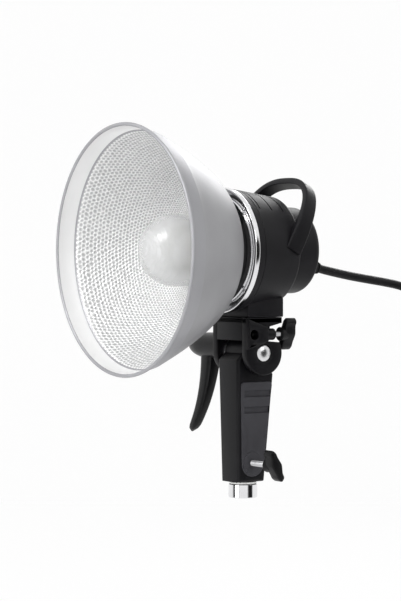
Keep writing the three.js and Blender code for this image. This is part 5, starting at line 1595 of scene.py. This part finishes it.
@dataclass
class ClampLever:
    """The long tilt lever, a rounded cone with an arm that bends outwards."""

    base: float = 0.0308
    hub_radius: float = 0.014
    hub_rise: float = 0.005
    hub_length: float = 0.073
    drop: float = 0.089
    bend: float = 2.4
    top_out: float = 0.066
    tip_out: float = 0.092
    tip_forward: float = 0.007
    top_depth: float = 0.017
    tip_depth: float = 0.009
    top_width: float = 0.022
    tip_width: float = 0.0115
    tip_start: float = 0.9

    def build(self) -> None:
        """Makes the hub and the arm as one moulding."""
        shares = [(1, 0.006), (1, 0.5), (0.985, 0.56), (0.97, 0.62), (0.93, 0.69), (0.87, 0.75), (0.79, 0.81),
                  (0.69, 0.86), (0.58, 0.905), (0.45, 0.94), (0.34, 0.965), (0.22, 0.985), (0.11, 0.997), (0.02, 1)]
        profile = [(0, self.base), (self.hub_radius - 0.0005, self.base)]
        profile += [(self.hub_radius * radius, self.base + self.hub_length * length) for radius, length in shares]
        hub = lathe("lever_hub", profile, TILT_CENTRE + UP * self.hub_rise, -X_AXIS, PALETTE.lever, 56)
        rings = []
        steps = 24
        for step in range(steps + 1):
            share = step / steps
            middle_out = self.top_out + (self.tip_out - self.top_out) * share**self.bend
            into_tip = max(0.0, (share - self.tip_start) / (1 - self.tip_start))
            taper = math.sqrt(max(0.02, 1 - into_tip**2))
            half_width = (self.top_width + (self.tip_width - self.top_width) * share) / 2 * taper
            half_depth = (self.top_depth + (self.tip_depth - self.top_depth) * share) / 2 * taper
            centre = TILT_CENTRE + Vector((-middle_out, -self.tip_forward * share, -self.drop * share))
            section = section_points(half_width, half_depth, half_width * 0.62, half_depth * 0.5)
            rings.append([centre + Vector((w, d, 0)) for w, d in section])
        arm = rings_piece("lever_arm", rings, PALETTE.lever, 50)
        fit(joined("tilt_lever", [hub, arm]), Body.LEVER, Slot.PLASTIC, "clamp_lever")


@dataclass
class Grip:
    """The hand grip with its side panels, its stand socket and its wing screw."""

    top_half: float = 0.018
    bottom_half: float = 0.0155
    front_top: float = -0.0195
    front_bottom: float = -0.0170
    rear_top: float = 0.0271
    rear_bottom: float = 0.0171
    back_top: float = 0.130
    bottom: float = 0.0169
    shoulder: float = 0.122
    tongue: float = 0.0173
    neck_drop: float = 0.0074
    bevel: float = 0.0034
    panel_thickness: float = 0.0016
    panel_inset: float = 0.0042
    slot_height: float = 0.007
    slot_depth: float = 0.0026
    screw_height: float = 0.037
    pad_radius: float = 0.0115
    slot_first_drop: float = 0.039
    slot_pitch: float = 0.017
    outside: float = 0.03  # a place beyond the grip's sides, for what is cut away
    screw_way: float = 0.0034
    socket_shown: float = 0.0144
    socket_outer: float = 0.0152
    socket_bore: float = 0.0081
    socket_tube: float = 0.0115
    socket_top: float = 0.062
    bore_depth: float = 0.052

    def width_at(self, height: float) -> float:
        """Half the grip's width at a height."""
        share = (height - self.bottom) / (self.shoulder - self.bottom)
        return self.bottom_half + (self.top_half - self.bottom_half) * min(1.0, max(0.0, share))

    def narrowed(self, piece: Piece) -> None:
        """Narrows a piece towards the grip's foot."""
        for vertex in piece.data.vertices:
            vertex.co.x *= self.width_at(vertex.co.z) / self.top_half

    def core_outline(self) -> Outline:
        """The core's outline as seen from the side."""
        y, z = TILT_CENTRE.y, TILT_CENTRE.z
        tongue = arc((y, z), self.tongue, 0, math.pi, 20)
        ledge = (y + self.tongue, self.back_top + 0.0028)
        heel = rounded((self.rear_bottom, self.bottom), (self.front_bottom, self.bottom),
                       (self.rear_top, self.back_top), 0.0015, 2)
        back = rounded((self.rear_top, self.back_top), (self.rear_bottom, self.bottom), ledge, 0.0012, 2)
        front = (self.front_top, z - self.neck_drop)
        return [*heel, *back, ledge, *tongue, front, (self.front_bottom, self.bottom)]

    def build_core(self) -> None:
        """Makes the core with its rounded spine and tongue."""
        piece = outlined("grip_body", [self.core_outline()], -self.top_half, self.top_half, self.bevel, Plane.SIDE,
                         PALETTE.grip, 4)
        self.narrowed(piece)
        inner = self.bottom_half - self.panel_thickness
        recess = self.panel_outline(GAP)
        cutters = [outlined("recess", [recess], low, high, 0.0, Plane.SIDE, PALETTE.grip)
                   for low, high in ((inner, self.outside), (-self.outside, -inner))]
        fit(carved(piece, cutters), Body.GRIP, Slot.PLASTIC, "grip_core")

    def panel_outline(self, grow: float) -> Outline:
        """A side panel's outline with a round foot, or that of its recess.

        Args:
            grow: How far the outline is grown outwards.

        Returns:
            The outline.
        """
        low, top = self.bottom + 0.0056 - grow, self.shoulder - GAP + grow

        def edge(height: float, foot: float, head: float, head_height: float) -> float:
            """A sloping edge's place at a height."""
            return foot + (head - foot) * (height - self.bottom) / (head_height - self.bottom)

        def front(height: float) -> float:
            """The front edge."""
            return edge(height, self.front_bottom, self.front_top, self.shoulder) + self.panel_inset - grow

        def rear(height: float) -> float:
            """The rear edge."""
            return edge(height, self.rear_bottom, self.rear_top, self.back_top) - self.panel_inset / 2 + grow

        middle, half = (front(low) + rear(low)) / 2, (rear(low) - front(low)) / 2
        points = arc((middle, low + half), half, math.pi, FULL_TURN, 20)
        points += rounded((rear(top), top), (rear(top), low), (front(top), top), 0.0042, 5)
        points += rounded((front(top), top), (rear(top), top), (front(top), low), 0.0042, 5)
        return points

    def build_panels(self) -> None:
        """Makes the two raised side panels with their finger slots, and the right one's pad for the stand screw."""
        inner = self.bottom_half - self.panel_thickness + GAP
        outer = self.top_half + self.panel_thickness / 2
        way = circle((0, self.screw_height), self.screw_way, 28)
        for side, name in ((1, "right"), (-1, "left")):
            low, high = (inner, outer) if side > 0 else (-outer, -inner)
            outlines = [self.panel_outline(0), way] if side > 0 else [self.panel_outline(0)]
            piece = outlined(f"grip_cheek_{name}", outlines, low, high, 0.0007, Plane.SIDE, PALETTE.panel, 2)
            for vertex in piece.data.vertices:
                if abs(vertex.co.x) > self.bottom_half + 0.001:
                    vertex.co.x -= side * (self.top_half - self.width_at(vertex.co.z))
            piece = carved(piece, self.slots(side))
            if side > 0:
                piece = joined(f"grip_cheek_{name}", [piece, self.pad()])
            fit(piece, Body.GRIP, Slot.RUBBER, f"grip_panel_{name}")

    def slots(self, side: int) -> list[Piece]:
        """The two finger slots' shapes, open at the panel's rear edge."""
        cutters = []
        for number in (0, 1):
            top = TILT_CENTRE.z - self.slot_first_drop - number * self.slot_pitch
            floor = self.width_at(top) + self.panel_thickness / 2 - self.slot_depth
            low, high = (floor, self.outside) if side > 0 else (-self.outside, -floor)
            front = self.front_top + self.panel_inset + 0.0045
            cutters.append(brick("slot", (low, front, top - self.slot_height), (high, 0.04, top), PALETTE.panel))
        return cutters

    def pad(self) -> Piece:
        """The round pad that the stand screw passes through."""
        face = self.width_at(self.screw_height) + self.panel_thickness
        profile = softened(rectangle((self.screw_way, 0.0148), (self.pad_radius, face)), 0.0004)
        return lathe("pad", profile, UP * self.screw_height, X_AXIS, PALETTE.panel, 48, closed=True)

    def build_socket(self) -> None:
        """Makes the chromed stand socket and the white ring above it."""
        shown, outer, bore, tube = self.socket_shown, self.socket_outer, self.socket_bore, self.socket_tube
        profile = [
            (bore, 0.0006), (bore + 0.0006, 0.0), (outer - 0.0007, 0.0), (outer, 0.0007), (outer, shown - 0.0006),
            (outer - 0.0006, shown), (tube, shown), (tube, self.socket_top), (0, self.socket_top),
            (0, self.bore_depth), (bore, self.bore_depth),
        ]
        fit(lathe("chrome_stand_socket", profile, ORIGIN, UP, PALETTE.chrome, 72, closed=True), Body.GRIP,
            Slot.CHROME, "stand_socket")
        ring = softened(rectangle((tube + GAP, shown + GAP), (0.0144, shown + GAP + 0.0019)), 0.0004)
        fit(lathe("white_ring", ring, ORIGIN, UP, PALETTE.nylon, 64, closed=True), Body.GRIP, Slot.NYLON,
            "socket_collar")
        dress("screw_insert", PALETTE.brass)

    def build(self) -> None:
        """Makes the grip and its wing screw."""
        self.build_core()
        self.build_panels()
        self.build_socket()
        screw = WingScrew(Vector((0.04428, 0, self.screw_height)), X_AXIS, turn=0.21 + QUARTER_TURN,
                          stud_length=0.0344)
        fit(screw.knob("stand_wing_knob"), Body.STAND_KNOB, Slot.PLASTIC, "stand_clamp_knob")
        fit(screw.stud("stand_wing_stud"), Body.STAND_SCREW, Slot.STEEL, "stand_clamp_stud")


# Chosen points of the lead's free run, as (towards the rear, up) from the head's centre.
RUN_ROUTE: tuple[Spot, ...] = (
    (0.104, -0.0214), (0.122, -0.0249), (0.141, -0.0282), (0.163, -0.0315), (0.186, -0.0348), (0.207, -0.0386),
    (0.226, -0.0448), (0.243, -0.055), (0.256, -0.0695), (0.2635, -0.087), (0.266, -0.104), (0.266, -0.116),
)


@dataclass
class Lead:
    """The lead from the rear cap, coiled and tied, with its plug."""

    radius: float = 0.00475
    gland_start: Vector = field(default_factory=lambda: Vector((0, 0.0636, -0.013)))
    gland_slope: float = 0.2
    gland_length: float = 0.030
    gland_flange: float = 0.0125
    gland_root: float = 0.009
    gland_tip: float = 0.0063
    coil_radius: float = 0.064
    pitch: float = 0.0102
    coil_turns: float = 5.0
    spiral_turns: float = 2.25
    coil_steps: int = 36
    tail: float = 0.040
    tie_wall: float = 0.0016
    plug_radius: float = 0.0125
    plug_length: float = 0.034
    plug_shell: float = 0.0103
    plug_insert: float = 0.009
    plug_depth: float = 0.009
    flutes: int = 24
    boot_length: float = 0.024
    ring_radius: float = 0.0155
    ring_length: float = 0.016

    def along(self) -> Vector:
        """The direction in which the gland points."""
        angle = math.atan(self.gland_slope)
        return Vector((0, math.cos(angle), -math.sin(angle)))

    def run(self) -> list[Vector]:
        """The free run's route, from the gland to the coil."""
        start = self.gland_start + self.along() * (self.gland_length + GAP)
        route = [start, *(Vector((0, back, up)) for back, up in RUN_ROUTE)]
        return [point + HEAD_CENTRE for point in route]

    def coil(self, top: Vector) -> list[Vector]:
        """The coil's middle line.

        Args:
            top: Where the free run meets the coil.

        Returns:
            Points in and out of the coil's two layers, down to its end.
        """
        centre = top + Vector((self.coil_radius, 0, -2 * self.radius))
        points = []
        for step in range(int(self.coil_turns * self.coil_steps) + 1):
            turns = step / self.coil_steps
            climbed = min(1.0, max(0.0, (turns - self.spiral_turns) / (self.coil_turns - 2 * self.spiral_turns)))
            radius = self.coil_radius - self.pitch * min(turns, self.coil_turns - turns)
            around = math.pi + FULL_TURN * turns
            across, up = radius * math.cos(around), radius * math.sin(around)
            points.append(centre + Vector((across, self.pitch * climbed, up)))
        return points

    def path(self) -> list[Vector]:
        """The whole lead's middle line, from the gland to the plug."""
        run = self.run()
        coil = self.coil(run[-1] - UP * GAP)
        end = coil[-1] - UP * 2 * (self.radius + GAP)
        tail = [end - UP * self.tail * share for share in (0.25, 0.5, 0.75, 1)]
        return [*catmull_rom(run, 3), *coil, end, *tail]

    def build(self) -> None:
        points = self.path()
        lead = swept("flash_lead", points, self.radius, PALETTE.cord, 14)
        fit(lead, Body.HEAD, Slot.RUBBER, "cord_run", "cord_coil", "cord_tail")
        tie = self.build_tie()
        self.build_gland()
        plug = self.build_plug(points[-1] - UP * GAP)
        length = sum((after - before).length for before, after in zip(points, points[1:]))
        LOG.info("the lead is %.2f m long", length)

    def build_tie(self) -> Piece:
        """The rubber tie round the top of the coil."""
        low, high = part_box("cord_tie")
        wall = self.tie_wall
        outer = softened(rectangle((low[1], low[2]), (high[1], high[2])), 0.003, 4)
        inner = softened(rectangle((low[1] + wall, low[2] + wall), (high[1] - wall, high[2] - wall)), 0.0018, 4)
        band = outlined("lead_tie", [outer, inner], low[0], high[0], 0.0004, Plane.SIDE, PALETTE.cord)
        return fit(band, Body.HEAD, Slot.RUBBER, "cord_tie")

    def build_gland(self) -> None:
        """The tapered strain relief with its ribs."""
        start = HEAD_CENTRE + self.gland_start
        flange, chamfer, low, high = self.gland_flange, 0.0006, 0.0004, 0.0026
        profile = [(0, low), (flange - chamfer, low), (flange, low + chamfer), (flange, high - chamfer),
                   (flange - chamfer, high)]
        for rib in range(6):
            share = 0.1 + 0.155 * rib
            place = high + (self.gland_length - high) * share
            radius = self.gland_root + (self.gland_tip - self.gland_root) * share
            profile += [(radius, place - 0.0014), (radius, place - 0.0004), (radius * 0.86, place),
                        (radius * 0.86, place + 0.0012), (radius, place + 0.0016)]
        profile += [(self.gland_tip, self.gland_length), (0, self.gland_length)]
        piece = lathe("strain_relief", profile, start, self.along(), PALETTE.cord, 40)
        fit(piece, Body.HEAD, Slot.RUBBER, "cord_gland")

    def build_plug(self, top: Vector) -> list[object]:
        """The plug with its boot, its locking ring and its pins.

        Args:
            top: The middle of the boot's upper face.

        Returns:
            The pieces on the lead.
        """
        low = -self.boot_length - self.plug_length
        shell, insert, depth = self.plug_shell, self.plug_insert, self.plug_depth
        profile = [(0, 0), (0.0058, 0), (0.0063, -0.0005)]
        for rib in range(5):
            place = -0.0035 - 0.004 * rib
            radius = 0.0064 + 0.0004 * rib
            profile += [(radius, place), (radius * 0.9, place - 0.0006), (radius * 0.9, place - 0.0018),
                        (radius + 0.0002, place - 0.0024)]
        profile += [
            (0.0086, -self.boot_length), (self.plug_radius - 0.0006, -self.boot_length - 0.0016),
            (self.plug_radius, -self.boot_length - 0.0024), (self.plug_radius, low + self.ring_length / 2),
            (shell, low + self.ring_length / 2), (shell, low), (insert, low), (insert, low + depth),
            (0, low + depth),
        ]
        body = lathe("plug_body", profile, top, UP, PALETTE.knob, 48)
        fit(body, Body.HEAD, Slot.PLASTIC, "cord_plug")
        ring_top = low + self.ring_length / 2 - GAP
        ring_low = ring_top - self.ring_length
        inner, outer, chamfer = shell + 0.0004, self.ring_radius, 0.0008
        ring_profile = [(inner, ring_low), (outer - chamfer, ring_low), (outer, ring_low + chamfer),
                        (outer, ring_top - chamfer), (outer - chamfer, ring_top), (inner, ring_top)]

        def knurl(around: float, number: int) -> float:
            """Cuts shallow flutes into the ring's grip."""
            return 1 - 0.03 * (0.5 + 0.5 * math.cos(around * self.flutes)) if number in (2, 3) else 1.0

        ring = lathe("plug_locking_ring", ring_profile, top, UP, PALETTE.steel, 96, closed=True, ripple=knurl)
        fit(ring, Body.PLUG_RING, Slot.STEEL, "plug_lock_ring")
        dress("plug_contacts", PALETTE.brass)
        return [body, ring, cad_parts["plug_contacts"]]


def aimed(thing: Piece, place: Vector, target: Vector) -> None:
    """Puts a lamp or camera at a place and aims it at a target."""
    thing.location = place
    thing.rotation_euler = (target - place).to_track_quat("-Z", "Y").to_euler()


@dataclass
class Studio:
    """The pale floor and backdrop, the soft lamps and the camera."""

    distance: float = 2.25
    sensor: float = 36.0
    image: tuple[int, int] = (401, 601)
    metres_per_pixel: float = 0.00105
    across: Vector = field(default_factory=lambda: Vector((0.567, 0.823, 0)))
    towards: Vector = field(default_factory=lambda: Vector((0.823, -0.567, 0.021)))
    bolt_pixel: Spot = (247.2, 497.0)
    floor_level: float = -0.35
    room_half: float = 6.0
    backdrop_distance: float = 3.0
    glow_share: float = 0.94
    soft_light: float = 0.5
    shown_light: float = 1.0
    flag_light: float = 0.015
    # Each dark flag's direction, and the cosines from its middle at which it starts and is full.
    flags: tuple[tuple[Colour, Spot], ...] = (
        ((-0.08, -0.99, 0.0), (0.86, 0.93)), ((0.9, 0.43, 0.0), (0.9, 0.95)),
    )
    # Each lamp's name, place, side and power in watts.
    lamps: tuple[tuple[str, Colour, float, float], ...] = (
        ("key_lamp", (0.2, -1.9, 1.7), 1.1, 38), ("side_lamp", (2.2, 0.6, 1.2), 0.8, 8),
        ("rear_lamp", (-1.2, 1.8, 1.4), 1.0, 16), ("fill_lamp", (0.2, -2.2, 0.1), 1.0, 11),
    )

    def camera(self) -> None:
        """Puts the camera at the photograph's angle, with the tilt centre at its place in the image."""
        wide, high = self.image
        shift = (wide / 2 - self.bolt_pixel[0]) * self.metres_per_pixel
        rise = (self.bolt_pixel[1] - high / 2) * self.metres_per_pixel
        target = Vector((0, TILT_CENTRE.y, 0)) + self.across.normalized() * shift + UP * rise
        data = bpy.data.cameras.new("camera")
        data.sensor_fit = "VERTICAL"
        data.sensor_height = self.sensor
        data.lens = self.sensor * self.distance / (high * self.metres_per_pixel)
        data.clip_end = 20
        camera = linked("camera", data)
        aimed(camera, target + self.towards.normalized() * self.distance, target)
        bpy.context.scene.camera = camera

    def pale(self, name: str, one_sided: bool) -> bpy.types.Material:
        """A white surface that shows as plain white to the camera and in reflections, and still takes shadow.

        Args:
            name: The material's name.
            one_sided: Whether the surface is see-through from its back.

        Returns:
            The material.
        """
        graph = Graph(bpy.data.materials.new(name))
        camera, glossy, clear = graph.rays()
        dust = graph.noise(3, 2)
        diffuse = graph.node("ShaderNodeBsdfDiffuse", {}, {"Color": graph.mix(dust, PALE, PALEST)})
        glow, black = (graph.node("ShaderNodeEmission", {}, {"Color": WHITE, "Strength": strength})
                       for strength in (self.shown_light, self.flag_light))
        shader = graph.blend((camera + glossy + clear).least(1) * self.glow_share, diffuse, glow)
        back_along = graph.node("ShaderNodeNewGeometry", {}, {}, "Incoming")
        shader = graph.blend((self.flagged(graph, back_along, -1) * glossy).clamped(), shader, black)
        if one_sided:
            through = graph.node("ShaderNodeBsdfTransparent", {}, {"Color": WHITE})
            shader = graph.blend(graph.node("ShaderNodeNewGeometry", {}, {}, "Backfacing"), shader, through)
        graph.node_output(shader)
        return graph.owner

    def flagged(self, graph: Graph, way: Signal, sign: int) -> Signal:
        """How far a ray goes into one of the two dark flags.

        Args:
            graph: The nodes to add to.
            way: The ray's direction.
            sign: 1 where the direction runs along the ray, -1 where it runs back.

        Returns:
            1 inside a flag, 0 outside both.
        """
        near = [graph.dot(way, [sign * part for part in middle]).between(*edge) for middle, edge in self.flags]
        return near[0] + near[1]

    def room(self) -> None:
        """Makes the floor and the backdrop."""
        wide = self.room_half
        away = -self.towards.normalized() * self.backdrop_distance
        side = self.across.normalized()
        level = [Vector((x, y, self.floor_level)) for x, y in rectangle((-wide, -wide), (wide, wide))]
        upright = [away + side * x + UP * z for x, z in rectangle((-wide, self.floor_level), (wide, wide))]
        for name, corners, one_sided in (("floor", level, False), ("backdrop", upright, True)):
            sheet = mesh_piece(name, corners, [[0, 1, 2, 3]], [])
            sheet.data.materials.append(self.pale("pale_" + name, one_sided))

    def lights(self) -> None:
        """Hangs the soft square lamps and sets the world's pale light."""
        for name, place, size, power in self.lamps:
            data = bpy.data.lights.new(name, "AREA")
            data.shape = "SQUARE"
            data.size = size
            data.energy = power
            aimed(linked(name, data), Vector(place), HEAD_CENTRE)
        bpy.context.scene.world = self.world()
        bpy.context.scene.view_settings.view_transform = "Standard"

    def world(self) -> bpy.types.World:
        """A white world with two dark flags, which show in bright metal alone."""
        graph = Graph(bpy.data.worlds.new("pale_world"))
        camera, glossy, clear = graph.rays()
        dark = self.flagged(graph, graph.node("ShaderNodeTexCoord", {}, {}, "Generated"), 1)
        soft, bright, black = (graph.node("ShaderNodeBackground", {}, {"Color": WHITE, "Strength": strength})
                               for strength in (self.soft_light, self.shown_light, self.flag_light))
        shown = graph.blend((camera + glossy + clear).least(1), soft, bright)
        graph.node_output(graph.blend((dark * glossy).clamped(), shown, black), "ShaderNodeOutputWorld")
        return graph.owner

    def build(self) -> None:
        """Sets the whole studio."""
        self.camera()
        self.room()
        self.lights()


def main() -> None:
    """Builds the studio, the lead and every sub-assembly."""
    logging.basicConfig(level=logging.INFO, format="%(message)s")
    Studio().build()
    Lead().build()
    bowl = ReflectorBowl()
    bowl.build()
    bowl.build_collar()
    bowl.build_rivets()
    FrontMount().build()
    LampSet().build()
    HeadBody().build()
    Yoke().build()
    ClampLever().build()
    Grip().build()


if __name__ == "__main__":
    main()
